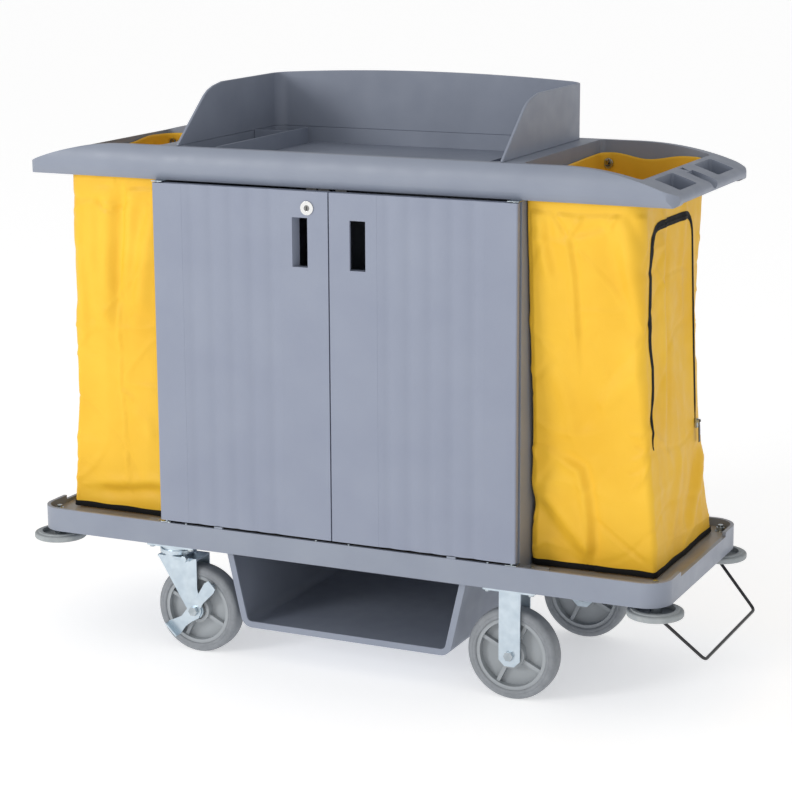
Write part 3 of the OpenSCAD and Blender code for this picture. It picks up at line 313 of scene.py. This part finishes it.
def powder_coat(name, colour):
    """Black polyester powder on steel: smooth with a slight orange peel."""
    material, tree, shader, place = new_finish(name, 0.38)
    peel = put(tree, "ShaderNodeTexNoise", {"Scale": 420.0, "Detail": 2.0}, {"Vector": place})
    tone = put(tree, "ShaderNodeMix", {"data_type": "RGBA", 6: srgb(colour), 7: srgb("2A2A2D")},
               {0: peel.outputs[0]})
    tree.links.new(tone.outputs[2], shader.inputs["Base Color"])
    bump = put(tree, "ShaderNodeBump", {"Strength": 0.3, "Distance": 0.1 * MM},
               {"Height": peel.outputs[0]})
    tree.links.new(bump.outputs[0], shader.inputs["Normal"])
    return material


rack_low, rack_high = (np.array(c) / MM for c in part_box("wire_rack"))
wire_r, eye_bore, bar_half, bend_r = 3.5, 6.2, 180.0, 16.0
eye_r = eye_bore + wire_r
eye_mid = np.array([rack_low[0] + eye_r + wire_r, rack_high[1] - eye_r - wire_r, rack_high[2] - wire_r])
bar_end = np.array([rack_high[0] - wire_r, bar_half, rack_low[2] + wire_r])
loop = [eye_mid + eye_r * np.array([math.cos(a), math.sin(a), 0])
        for a in np.radians(np.arange(-405, -90, 15))]
half = loop + [eye_mid + np.array([0, -eye_r, 0]), bar_end]
flip = np.array([1, -1, 1])
corners = half + [p * flip for p in half[::-1]]
black_powder = powder_coat("black_powder_coat", "17171A")
points, faces = tube(rounded_path(corners, bend_r), wire_r)
piece("rack_wire", points, faces, black_powder, "frame", "black_coated_metal", ["wire_rack"])

# ---------------------------------------------------------------------------- the under-bin
# A thinner moulding in the same polypropylene, open to the front, with flanges screwed up
# under the deck.

soften("under_bin", 2.0, shell_plastic, 3)

# ---------------------------------------------------------------------------- the cabinet
# Two side panels, a back and two shelves, moulded with a satin face. Each side panel's feet
# are screwed to the deck's floor.

for node in ("cabinet_side_left", "cabinet_side_right", "cabinet_back", "shelf_upper", "shelf_lower"):
    soften(node, 2.0, shell_plastic)
soften("small_screws", 0.5, bolt_zinc)

# ---------------------------------------------------------------------------- the doors
# Two hollow moulded doors with shallow flutes, and a finger pull cut through each. They turn on
# steel pins in pivot plates, and the left one carries a nickel-plated cam lock.

door_plastic = moulded_plastic("blue_grey_door_polypropylene", "8990A1", "848B9D")
for node in ("door_left", "door_right"):
    soften(node, 1.6, door_plastic)
soften("door_pivots", 0.5, bolt_zinc)
lock_nickel = zinc_plate("bright_nickel_plate", "E6E6E4", "CFCFCE", 0.16)
plug_nickel = zinc_plate("dull_nickel_plug", "8B8B8A", "6F6F6E", 0.32)
for node in ("lock_body", "lock_nut", "lock_cam"):
    soften(node, 0.6, lock_nickel)
soften("lock_plug", 0.6, plug_nickel)
catch_plastic = moulded_plastic("black_catch_plastic", "1D1D20", "232326", 0.5)
for node in ("lock_strike", "door_magnets"):
    soften(node, 0.5, catch_plastic)

# ---------------------------------------------------------------------------- the top tray
# The tray, its hood and its dividers are moulded in the same polypropylene. The tray has two
# open ends for the bags, finger cups and a broom channel in each end bar.

# Inside the hood and the tray's basin the grain is coarser and the roughness higher, and the darker
# colour there is painted shade
grained_shaded_plastic = moulded_plastic("blue_grey_grained_polypropylene_painted_shade", "858C9B", "7D8493", 0.55, 0.8)


def grain_and_shade_inside(node, low, high):
    """Faces whose middles lie in the box, in mm, and that look into it get the coarser grain that the
    mould has there, and a darker colour that is painted shade."""
    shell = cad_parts[node]
    shell.data.materials.append(grained_shaded_plastic)
    low, high = np.array(low), np.array(high)
    for face in shell.data.polygons:
        c = np.array(face.center) / MM
        inside = (c > low).all() and (c < high).all()
        if inside and np.dot((low + high) / 2 - c, face.normal) > 0:
            face.material_index = 1
    shell.modifiers["flat"].delimit = {"MATERIAL"}


hood_plastic = moulded_plastic("blue_grey_hood_polypropylene", "8D94A3", "868D9C")
soften("top_tray", 2.6, shell_plastic, 3)
soften("hood", 2.4, hood_plastic, 3)
hood_low, hood_high = (np.array(c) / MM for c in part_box("hood"))
grain_and_shade_inside("hood", hood_low + (3, -9, -9), hood_high - (3, 3, -9))
grain_and_shade_inside("top_tray", (hood_low[0], hood_low[1] - 9, hood_low[2] - 60),
             (hood_high[0], hood_high[1], hood_low[2] - 0.5))
# The dividers stand inside the hood and take its darker colour, which is painted shade
for node in ("divider_left", "divider_right"):
    soften(node, 1.0, grained_shaded_plastic)

# ---------------------------------------------------------------------------- the bags
# Two open bags in yellow PVC-coated polyester. Each hangs from four hooks through eyelets in
# its folded hem, stands its bound foot just over the deck, and creases as stiff vinyl does.

soften("bag_hooks", 0.8, bolt_zinc)
soften("bag_eyelets", 0.7, bolt_zinc)


def wander(p, seed):
    """Smooth seeded noise from -1 to 1 at each row of p, with features one unit across."""
    cell = np.floor(p).astype(np.int64)
    part = p - cell
    part = part * part * part * (part * (part * 6 - 15) + 10)
    total = np.zeros(len(p))
    for corner in range(8):
        step = np.array([corner & 1, corner >> 1 & 1, corner >> 2 & 1])
        at = (cell + step) * (374761393, 668265263, 974634777)
        h = (at.sum(axis=1) + seed * 362437) & 0xFFFFFFFF
        h = ((h ^ (h >> 13)) * 1274126177) & 0xFFFFFFFF
        h = ((h ^ (h >> 16)) & 0xFFFF) / 32767.5 - 1
        total += h * np.prod(np.where(step, part, 1 - part), axis=1)
    return total


def rectangle_of(node, top):
    """The bag's CAD rectangle (x0, x1, y0, y1) at its top or its foot, and its height, in mm."""
    co = np.array([v.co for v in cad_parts[node].data.vertices]) / MM
    z = co[:, 2].max() if top else co[:, 2].min()
    rim = co[abs(co[:, 2] - z) < 0.01]
    return np.array([rim[:, 0].min(), rim[:, 0].max(), rim[:, 1].min(), rim[:, 1].max()]), z


bag_top, bag_top_z = rectangle_of("bag_right", True)
bag_foot, bag_foot_z = rectangle_of("bag_right", False)
# The foot is spread a little by what the bag holds
bag_foot = bag_foot + (-12, 0, -4, 0)
SIDE_STEPS = (46, 66, 30, 40)
CORNER_STEPS = 11
ROWS = 156


# How round the back-outer corner is at each share of the height: the end is drawn well in there
DRAWN_IN = [(0, 8), (0.04, 25), (0.09, 48), (0.2, 78), (0.32, 94), (0.43, 94), (0.55, 75), (0.78, 55),
            (1, 50)]


def bag_ring(z):
    """The bag's outline at height z: points, outward normals, which side each is on, and how
    far along that side. It runs front, outer end, back, cabinet side."""
    t = (z - bag_foot_z) / (bag_top_z - bag_foot_z)
    x0, x1, y0, y1 = bag_foot + (bag_top - bag_foot) * t
    # Corner radii: front-cabinet, front-outer, back-outer, back-cabinet
    radii = np.array([11.0, 6 + 34 * t, np.interp(t, *zip(*DRAWN_IN)), 24.0])
    corners = np.array([[x0, y0], [x1, y0], [x1, y1], [x0, y1]])
    along = np.array([[1, 0], [0, 1], [-1, 0], [0, -1]])
    out = np.array([[0, -1], [1, 0], [0, 1], [-1, 0]])
    rows = []
    for i in range(4):
        start = corners[i] + along[i] * radii[i]
        end = corners[(i + 1) % 4] - along[i] * radii[(i + 1) % 4]
        for k in range(SIDE_STEPS[i]):
            u = k / SIDE_STEPS[i]
            rows.append([*(start + (end - start) * u), *out[i], i, u])
        r = radii[(i + 1) % 4]
        centre = end - out[i] * r
        for k in range(CORNER_STEPS):
            a = math.pi / 2 * k / CORNER_STEPS
            n = out[i] * math.cos(a) + along[i] * math.sin(a)
            rows.append([*(centre + n * r), *n, i + 0.5, k / CORNER_STEPS])
    return np.array(rows)


def nearest(x, z, line):
    """Signed distance to a line of (x, z) points, and how far along it the nearest point is."""
    best = np.full(x.shape, 1e9)
    signed, share = np.zeros(x.shape), np.zeros(x.shape)
    for k, ((x0, z0), (x1, z1)) in enumerate(zip(line, line[1:])):
        run = math.hypot(x1 - x0, z1 - z0)
        ux, uz = (x1 - x0) / run, (z1 - z0) / run
        t = np.clip(((x - x0) * ux + (z - z0) * uz) / run, 0, 1)
        dx, dz = x - x0 - t * run * ux, z - z0 - t * run * uz
        d = np.hypot(dx, dz)
        closer = d < best
        best = np.where(closer, d, best)
        signed = np.where(closer, np.where(dx * uz - dz * ux >= 0, d, -d), signed)
        share = np.where(closer, (k + t) / (len(line) - 1), share)
    return signed, share


def folds(x, z, lines):
    """Sums the folds given as (kind, width, height, line): a rounded ridge, a sharp crease, or a
    step with a light and a dark side, each fading at its ends."""
    total = np.zeros(x.shape)
    for kind, width, height, line in lines:
        d, share = nearest(x, z, line)
        d = d / (0.8 * width)
        fade = np.clip(np.minimum(share, 1 - share) * 5 + 0.25, 0, 1)
        if kind == "step":
            total += 1.2 * height * fade * d * np.exp(0.5 - d * d * 0.5)
        elif kind == "crease":
            total += 1.1 * height * fade * np.clip(1 - abs(d), 0, 1) ** 1.4
        else:
            total += height * fade * np.exp(-d * d)
    return total


def bag_grid(seed, zipped, front_folds, end_folds, hollow):
    """The bag's outer surface as rows of points from the foot to the hem, in mm."""
    heights = bag_foot_z + (bag_top_z - bag_foot_z) * np.linspace(0, 1, ROWS + 1)
    rings = np.array([bag_ring(z) for z in heights])
    spots, normals = rings[:, :, 0:2], rings[:, :, 2:4]
    side, share = rings[:, :, 4], rings[:, :, 5]
    steps = np.linalg.norm(np.diff(spots, axis=1, append=spots[:, :1]), axis=2)
    girth = np.cumsum(steps, axis=1) - steps
    z = np.repeat(heights[:, None], rings.shape[1], axis=1)

    def noise(a_mm, z_mm, lean=0.0, n=0):
        q = [(girth / a_mm + z * lean).ravel(), (z / z_mm).ravel(), np.full(z.size, n * 7.3)]
        return wander(np.stack(q, axis=1), seed + n).reshape(z.shape)

    # Slow sag, long upright folds, slanting creases and small puckers everywhere
    slow = 4.5 * noise(170, 260, 0, 1)
    upright = 1.6 * (1 - np.abs(noise(62, 420, 0.0014, 2)) * 2.2)
    crease = 2.3 * np.clip(1 - np.abs(noise(150, 130, 0.006, 3)) * 8, 0, 1)
    cross = -2.0 * np.clip(1 - np.abs(noise(170, 120, -0.005, 4)) * 9, 0, 1)
    pucker = 0.6 * noise(26, 34, 0, 5)
    drop = (bag_top_z - z) / (bag_top_z - bag_foot_z)
    free = np.clip(drop / 0.10, 0.12, 1) * np.clip((1 - drop) / 0.06, 0.1, 1)
    front = np.where((side <= 0.5) | (side > 3.4), 1.0, 0.0)
    outer = np.where((side >= 0.5) & (side <= 1.5), 1.0, 0.0)
    turn = np.where(side == 0.5, share, 0.0)
    front_share = np.where(side == 0.5, 1 - turn, front)
    end_share = np.where(side == 0.5, turn, outer)
    push = (slow + upright + crease + cross) * free + pucker * np.clip(free, 0.3, 1)
    push += front_share * folds(spots[:, :, 0], z, front_folds)
    push += end_share * folds(spots[:, :, 1], z, end_folds)
    # The outer end hollows at half height and spreads again at the foot
    levels, depths = zip(*hollow)
    push += end_share * np.interp(drop, levels, depths)
    push += front_share * np.interp(drop, [0, 0.1, 0.35, 0.6, 0.85, 1], [0, 2, -1, -4, 1, 2])
    if zipped:
        # The zip is stiff, so the vinyl beside its straight branch stays flat
        near = outer * np.exp(-((spots[:, :, 1] - zip_straight_y) / 22.0) ** 2) * (z > zip_low_z - 40)
        push = push * (1 - near) - 0.6 * near
    # The vinyl can't reach the cabinet, nor the tray round its hem
    room = np.maximum(spots[:, :, 0] - cabinet_x - 1.5, 0) * 0.8
    push = np.where(side >= 2.5, np.minimum(push, room), push)
    push = np.where(z > tray_low - 25, np.clip(push, -6, 2.0), push)
    # The hem is drawn up at the hooks and sags between them
    lift = np.zeros_like(z)
    for i, sag in enumerate((5, 10, 10, 5)):
        lift -= (side == i) * sag * np.sin(np.pi * share) ** 2 * np.clip(1 - drop / 0.2, 0, 1)
    lift += 1.6 * noise(70, 900, 0, 6) * np.clip(1 - drop / 0.1, 0, 1)
    # and the foot's seam waves a little
    lift += 1.6 * noise(90, 900, 0, 7) * np.clip((drop - 0.93) / 0.07, 0, 1)
    grid = np.zeros(z.shape + (3,))
    grid[:, :, 0:2] = spots + normals * push[:, :, None]
    grid[:, :, 2] = z + lift
    return grid, normals, girth


cabinet_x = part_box("cabinet_side_right")[1][0] / MM - 56
tray_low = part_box("top_tray")[0][2] / MM
tape_low, tape_high = (np.array(c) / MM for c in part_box("zip_tape"))
zip_straight_y = tape_high[1] - 5.0
zip_low_z = tape_low[2]


def coated_vinyl(name, light, dark):
    """PVC-coated polyester: a soft satin skin through which the woven base just shows, deeper
    in colour where the skin lies thick."""
    material, tree, shader, place = new_finish(name, 0.5)
    shader.inputs["IOR"].default_value = 1.45
    shader.inputs["Specular IOR Level"].default_value = 0.3
    tone = put(tree, "ShaderNodeTexNoise", {"Scale": 6.0, "Detail": 4.0}, {"Vector": place})
    spread = put(tree, "ShaderNodeMapRange", {1: 0.32, 2: 0.68}, {0: tone.outputs[0]})
    colour = put(tree, "ShaderNodeMix", {"data_type": "RGBA", 6: srgb(light), 7: srgb(dark)},
                 {0: spread.outputs[0]})
    tree.links.new(colour.outputs[2], shader.inputs["Base Color"])
    rub = put(tree, "ShaderNodeTexNoise", {"Scale": 30.0, "Detail": 3.0}, {"Vector": place})
    gloss = put(tree, "ShaderNodeMapRange", {1: 0.3, 2: 0.7, 3: 0.42, 4: 0.58}, {0: rub.outputs[0]})
    tree.links.new(gloss.outputs[0], shader.inputs["Roughness"])
    # The weave's threads are 0.5 mm apart, and are drawn 1.6 mm apart so that they show
    threads = put(tree, "ShaderNodeUVMap", {"uv_map": "cloth"}).outputs[0]
    weft = put(tree, "ShaderNodeTexWave", {"bands_direction": "X", "Scale": 0.314 / 1.6 * 1000,
                                           "Distortion": 0.4}, {"Vector": threads})
    warp = put(tree, "ShaderNodeTexWave", {"bands_direction": "Y", "Scale": 0.314 / 1.6 * 1000,
                                           "Distortion": 0.4}, {"Vector": threads})
    weave = put(tree, "ShaderNodeMath", {"operation": "MULTIPLY"},
                {0: weft.outputs[1], 1: warp.outputs[1]})
    bump = put(tree, "ShaderNodeBump", {"Strength": 0.25, "Distance": 0.12 * MM},
               {"Height": weave.outputs[0]})
    tree.links.new(bump.outputs[0], shader.inputs["Normal"])
    return material


yellow_vinyl = coated_vinyl("yellow_pvc_coated_polyester", "F1C03A", "EAB630")


def bag_shell(name, grid, girth, mirrored, node):
    """The vinyl as a thin skin with its foot panel, holes at the eyelets and cloth coordinates."""
    rows, count = grid.shape[:2]
    flip = np.array([-1.0 if mirrored else 1.0, 1, 1])
    points = [p * flip * MM for p in grid.reshape(-1, 3)]
    centre = grid[0].mean(axis=0)
    points.append(np.array([centre[0], centre[1], grid[0][:, 2].min()]) * flip * MM)
    hooks = [np.array([x, y]) for x in hook_x for y in (-1, 1)]
    faces = []
    for i in range(rows - 1):
        for k in range(count):
            n = (k + 1) % count
            middle = (grid[i, k] + grid[i + 1, n]) / 2
            cut = any(abs(middle[0] - h[0]) < 7.5 and abs(middle[2] - hook_z) < 7.5
                      and middle[1] * h[1] > 150 for h in hooks)
            if not cut:
                faces.append((i * count + k, i * count + n, (i + 1) * count + n, (i + 1) * count + k))
    foot = rows * count
    faces += [(foot, (k + 1) % count, k) for k in range(count)]
    if mirrored:
        faces = [f[::-1] for f in faces]
    made = piece(name, points, faces, yellow_vinyl, "frame", "vinyl", [node])
    layer = made.data.uv_layers.new(name="cloth")
    along = np.append(girth.ravel(), 0.0) * MM
    up = np.array([p[2] for p in points])
    for loop_ in made.data.loops:
        layer.data[loop_.index].uv = (along[loop_.vertex_index], up[loop_.vertex_index])
    skin = made.modifiers.new("skin", "SOLIDIFY")
    skin.thickness = 1.4 * MM
    skin.offset = -1
    return made


eyelet_low, eyelet_high = (np.array(c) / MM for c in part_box("bag_eyelets"))
hook_z = (eyelet_low[2] + eyelet_high[2]) / 2
hook_x = [bag_top[0] + 17.0, bag_top[1] - 17.0]
# Each fold as (kind, width, height, line), with the line's (x, z) points on the front panel
right_folds = [
    ("crease", 11, -5.0, [(479, 1043), (497, 1016), (513, 992)]),
    ("crease", 11, 5.0, [(545, 1033), (530, 1012), (515, 991)]),
    ("step", 9, 3.2, [(518, 991), (520, 960), (527, 909), (531, 836), (536, 716)]),
    ("crease", 14, 5.5, [(624, 1052), (613, 1034), (601, 1011)]),
    ("step", 12, -4.5, [(645, 1050), (665, 1003), (691, 951)]),
    ("step", 26, -5.0, [(618, 995), (630, 916), (659, 834), (681, 778)]),
    ("crease", 8, 3.0, [(659, 834), (672, 804), (681, 778)]),
    ("step", 12, 3.0, [(520, 989), (559, 1000), (595, 1007)]),
    ("step", 13, 3.5, [(461, 1034), (469, 962), (482, 897)]),
    ("ridge", 20, 5.0, [(485, 712), (510, 630), (525, 547)]),
    ("ridge", 24, 6.0, [(677, 735), (608, 667), (573, 633)]),
    ("step", 12, 5.0, [(480, 533), (538, 504), (550, 455), (559, 392), (562, 344), (559, 299)]),
    ("crease", 8, -4.0, [(564, 401), (610, 366), (687, 312)]),
    ("crease", 10, 4.5, [(640, 588), (662, 584), (690, 600)]),
    ("crease", 9, -4.5, [(650, 569), (668, 560), (690, 566)]),
    ("crease", 10, 4.0, [(648, 530), (668, 541), (689, 564)]),
    ("crease", 10, 4.5, [(650, 469), (668, 490), (686, 523)]),
    ("crease", 9, -4.0, [(640, 505), (660, 512), (688, 540)]),
    ("step", 24, -7.0, [(430, 450), (491, 384), (549, 310)]),
    ("crease", 9, 3.5, [(412, 327), (430, 322), (452, 334)]),
]
right_end_folds = [
    ("step", 20, 5.0, [(-60, 1000), (-75, 860), (-66, 700), (-84, 560)]),
    ("ridge", 22, 4.0, [(60, 1050), (40, 900), (55, 760)]),
    ("ridge", 26, 5.0, [(10, 520), (-30, 430), (-90, 330)]),
    ("step", 22, -5.0, [(150, 500), (100, 420), (20, 330)]),
]
left_seam = [(515, 1058), (512, 1011), (522, 981), (523, 936), (537, 860), (553, 757), (559, 690)]
left_folds = [
    ("crease", 6, 3.0, left_seam),
    ("step", 16, 3.5, left_seam),
    ("crease", 6, 3.0, [(559, 712), (561, 585), (556, 515), (555, 443), (553, 378), (541, 318)]),
    ("crease", 10, -5.0, [(592, 1009), (574, 988), (551, 982), (519, 1000)]),
    ("ridge", 24, 6.0, [(603, 1019), (614, 880), (605, 766), (568, 705)]),
    ("step", 20, -5.0, [(545, 1034), (563, 858), (556, 711)]),
    ("step", 22, 5.0, [(456, 1002), (485, 913), (518, 760)]),
    ("step", 16, 4.5, [(649, 338), (568, 344), (488, 356), (440, 352)]),
    ("crease", 12, 4.0, [(558, 571), (531, 551)]),
    ("ridge", 18, 4.0, [(533, 528), (497, 503), (480, 465)]),
    ("ridge", 14, 3.5, [(640, 1010), (646, 900), (642, 800), (652, 660)]),
]
# Along the stitched seam of the left-hand bag the vinyl puckers
for k in range(14):
    low = 330 + 26 * k
    across = [(548 + 3 * (k % 3), low), (566 - 2 * (k % 4), low + 10)]
    left_folds.append(("crease", 4.5, 2.6 if k % 2 else -2.0, across))
# How far the outer end stands proud, or hollows, at each share of the way down
right_hollow = [(0, 0), (0.07, 2), (0.25, -4), (0.40, -8), (0.55, -6), (0.75, -3), (0.95, 4), (1, 3)]
left_hollow = [(0, 0), (0.07, 1), (0.25, 0), (0.33, -5), (0.41, -7), (0.44, -2), (0.62, -4),
               (0.70, -7), (0.8, 0), (0.95, 5), (1, 6)]
right_grid, right_normals, right_girth = bag_grid(11, True, right_folds, right_end_folds, right_hollow)
left_grid, left_normals, left_girth = bag_grid(47, False, left_folds, right_end_folds, left_hollow)
bag_pieces = [
    bag_shell("bag_right_vinyl", right_grid, right_girth, False, "bag_right"),
    bag_shell("bag_left_vinyl", left_grid, left_girth, True, "bag_left"),
]

# The binding is black polyester tape, folded over the foot seam and stitched.


def woven_black(name):
    """Black polyester tape: fine ribs that catch a little light."""
    material, tree, shader, place = new_finish(name, 0.75)
    shader.inputs["Specular IOR Level"].default_value = 0.25
    ribs = put(tree, "ShaderNodeTexWave", {"Scale": 0.314 / 1.2 * 1000, "Distortion": 1.0},
               {"Vector": place})
    tone = put(tree, "ShaderNodeMix", {"data_type": "RGBA", 6: srgb("060607"), 7: srgb("121214")},
               {0: ribs.outputs[1]})
    tree.links.new(tone.outputs[2], shader.inputs["Base Color"])
    bump = put(tree, "ShaderNodeBump", {"Strength": 0.5, "Distance": 0.2 * MM},
               {"Height": ribs.outputs[1]})
    tree.links.new(bump.outputs[0], shader.inputs["Normal"])
    return material


black_tape = woven_black("black_polyester_tape")
BINDING_H = 14.0


def band(loops):
    """Joins closed loops of points, each loop to the next, and the last to the first."""
    points = [p for loop_ in loops for p in loop_]
    count = len(loops[0])
    faces = []
    for i in range(len(loops)):
        j = (i + 1) % len(loops)
        for k in range(count):
            n = (k + 1) % count
            faces.append((i * count + k, i * count + n, j * count + n, j * count + k))
    return points, faces


points, faces = [], []
for grid, normals, mirrored in ((right_grid, right_normals, False), (left_grid, left_normals, True)):
    flip = np.array([-1.0 if mirrored else 1.0, 1, 1])
    low, high = grid[0], grid[2]
    n3 = np.concatenate([normals[0], np.zeros((normals.shape[1], 1))], axis=1)
    wave = 0.8 * np.sin(np.arange(len(low)) * 0.35)[:, None] * np.array([0, 0, 1])
    up = np.array([0, 0, 1.0])
    top_of = low + (high - low) * (BINDING_H / (high[0, 2] - low[0, 2]))
    section = [(low, 0.2, 0.4), (low, 1.5, 0.6), (low, 2.2, 2.0), (top_of, 2.2, -1.2),
               (top_of, 1.6, -0.2), (top_of, 0.2, 0.0)]
    loops = [(base + n3 * out + up * rise + wave * (0 if base is low else 1)) * flip * MM
             for base, out, rise in section]
    p, f = band(loops)
    if mirrored:
        f = [q[::-1] for q in f]
    faces += [tuple(i + len(points) for i in q) for q in f]
    points += p
piece("bag_foot_bindings", points, faces, black_tape, "frame", "black_webbing", ["bag_bindings"])

# ---------------------------------------------------------------------------- the zip
# A black coil zip is sewn in an arch into the outer end of the right-hand bag, so that the
# end opens. Its slider and pull ride on the straight branch nearest the back.


def on_end(y, z):
    """The vinyl's outer surface at the bag's outer end."""
    first = SIDE_STEPS[0] + CORNER_STEPS
    v = (z - bag_foot_z) / (bag_top_z - bag_foot_z) * ROWS
    i = min(max(int(v), 0), ROWS - 1)
    picked = []
    for row in (i, i + 1):
        line = right_grid[row, first:first + SIDE_STEPS[1] + 1]
        picked.append([np.interp(y, line[:, 1], line[:, 0]), y, z])
    return np.array(picked[0]) + (np.array(picked[1]) - np.array(picked[0])) * (v - i)


zip_left_y = tape_low[1] + 5.0
zip_top_z = tape_high[2] - 5.0
arch = [(zip_left_y, zip_low_z), (zip_left_y, zip_top_z), (zip_straight_y, zip_top_z),
        (zip_straight_y, zip_low_z)]
line = rounded_path([(0, y, z) for y, z in arch], 52.0, 4.0)
# The branch nearest the front was sewn by eye and wanders
drift_z = [zip_low_z, 560, 620, 680, 720, 760, 850, 930, zip_top_z - 20]
drift_y = [-18, -24, -24, -12, -8, -18, -20, -14, 0]
for p in line:
    if p[1] < 0:
        p[1] += np.interp(p[2], drift_z, drift_y) * min(1, max(0, -(p[1] - 40) / 90))
spine = np.array([on_end(y, z) for _, y, z in line])
lean = math.atan2(bag_foot[1] - bag_top[1], bag_top_z - bag_foot_z)
outward = np.array([math.cos(lean), 0, math.sin(lean)])
heading = np.gradient(spine, axis=0)
heading /= np.linalg.norm(heading, axis=1)[:, None]
across = np.cross(outward, heading)
across /= np.linalg.norm(across, axis=1)[:, None]
# Where the front branch turns to face outward more of the tape shows
width = np.minimum(1, np.minimum(np.arange(len(spine)), np.arange(len(spine))[::-1]) / 14 + 0.25)
width *= 1.15 + 0.9 * np.clip((line[:, 2] - 620) / 200, 0, 1) * np.clip((110 - line[:, 1]) / 60, 0, 1)
profile = [(-4.6, 0.35), (-4.4, 0.75), (-1.6, 0.85), (-1.2, 1.15), (1.2, 1.15), (1.6, 0.85), (4.4, 0.75),
           (4.6, 0.35)]
points, faces = [], []
for p, a, w in zip(spine, across, width):
    for s, h in profile:
        edge = p + a * s * w
        points.append((on_end(edge[1], edge[2]) + outward * (h + 0.2)) * MM)
m = len(profile)
for i in range(len(spine) - 1):
    for k in range(m):
        n = (k + 1) % m
        faces.append((i * m + k, i * m + n, (i + 1) * m + n, (i + 1) * m + k))
faces.append(tuple(range(m)))
faces.append(tuple(len(points) - 1 - k for k in range(m)))
# Coil teeth, 3 mm apart
for i in range(6, len(spine) - 6):
    for shift in (0.0, 0.5):
        c = spine[i] * (1 - shift) + spine[i + 1] * shift
        a, t = across[i], heading[i]
        first = len(points)
        for ds, dt, h in ((-2.2, -0.5, 0.8), (2.2, -0.5, 0.8), (2.2, 0.5, 0.8), (-2.2, 0.5, 0.8),
                          (-1.7, -0.3, 1.5), (1.7, -0.3, 1.5), (1.7, 0.3, 1.5), (-1.7, 0.3, 1.5)):
            points.append((c + a * ds + t * dt + outward * h) * MM)
        for f in ((3, 2, 1, 0), (4, 5, 6, 7), (0, 1, 5, 4), (1, 2, 6, 5), (2, 3, 7, 6), (3, 0, 4, 7)):
            faces.append(tuple(first + k for k in f))
zip_arch = piece("zip_arch", points, faces, black_tape, "frame", "black_webbing", ["zip_tape"], False)
# Each bag is cut from one wall 1.34 m round and 0.84 m high, and a foot panel of 0.10 m2
soften("zip_slider", 0.5, bolt_zinc)
soften("zip_pull", 0.5, black_powder)

# ---------------------------------------------------------------------------- the room
# A plain pale floor and soft studio light: a broad light over the right shoulder, a weaker
# one on the left, and white all round. The camera stands where a catalogue view would.


def room_light(name, place, target, size, watts, colour="FFFFFF"):
    lamp = bpy.data.lights.new(name, "AREA")
    lamp.shape = "RECTANGLE"
    lamp.size, lamp.size_y = size
    lamp.energy = watts
    lamp.color = srgb(colour)[:3]
    made = bpy.data.objects.new(name, lamp)
    made.location = place
    made.rotation_euler = (Vector(target) - Vector(place)).to_track_quat("-Z", "Y").to_euler()
    bpy.context.scene.collection.objects.link(made)


room_light("key", (-3.6, -5.6, 2.6), (0.1, 0, 0.65), (2.0, 2.0), 150)
room_light("front", (1.2, -5.4, 1.3), (0.1, 0, 0.7), (3.0, 2.0), 30)
world = bpy.data.worlds.new("white_room")
world.use_nodes = True
world.node_tree.nodes["Background"].inputs[0].default_value = srgb("FFFFFF")
world.node_tree.nodes["Background"].inputs[1].default_value = 0.6
bpy.context.scene.world = world

floor_mesh = bpy.data.meshes.new("floor")
reach = 60.0
floor_mesh.from_pydata([(-reach, -reach, 0), (reach, -reach, 0), (reach, reach, 0), (-reach, reach, 0)],
                       [], [(0, 1, 2, 3)])
floor = bpy.data.objects.new("floor", floor_mesh)
bpy.context.scene.collection.objects.link(floor)
# White acrylic lit from below, as on a light table
floor_paint, tree, shader, place = new_finish("lit_white_acrylic_floor", 0.75)
shader.inputs["Base Color"].default_value = srgb("F4F4F4")
shader.inputs["Emission Color"].default_value = srgb("FFFFFF")
shader.inputs["Emission Strength"].default_value = 0.43
floor_mesh.materials.append(floor_paint)

scene = bpy.context.scene
scene.view_settings.view_transform = "Standard"
scene.view_settings.look = "None"
az, el, roll = (math.radians(a) for a in (24.77, 12.39, -0.26))
ahead = Vector((-math.sin(az) * math.cos(el), math.cos(az) * math.cos(el), -math.sin(el)))
level = Vector((math.cos(az), math.sin(az), 0))
above = level.cross(ahead)
right = level * math.cos(roll) + above * math.sin(roll)
top = -level * math.sin(roll) + above * math.cos(roll)
lens = bpy.data.cameras.new("catalogue_view")
lens.lens = 102.8646
lens.sensor_width = 36
lens.shift_x, lens.shift_y = 0.0007, -0.0245
lens.clip_end = 200
camera = bpy.data.objects.new("catalogue_view", lens)
camera.matrix_world = Matrix.Translation((2.0995, -4.4868, 1.6929)) @ Matrix(
    (right, top, -ahead)).transposed().to_4x4()
scene.collection.objects.link(camera)
scene.camera = camera

bpy.context.view_layer.update()
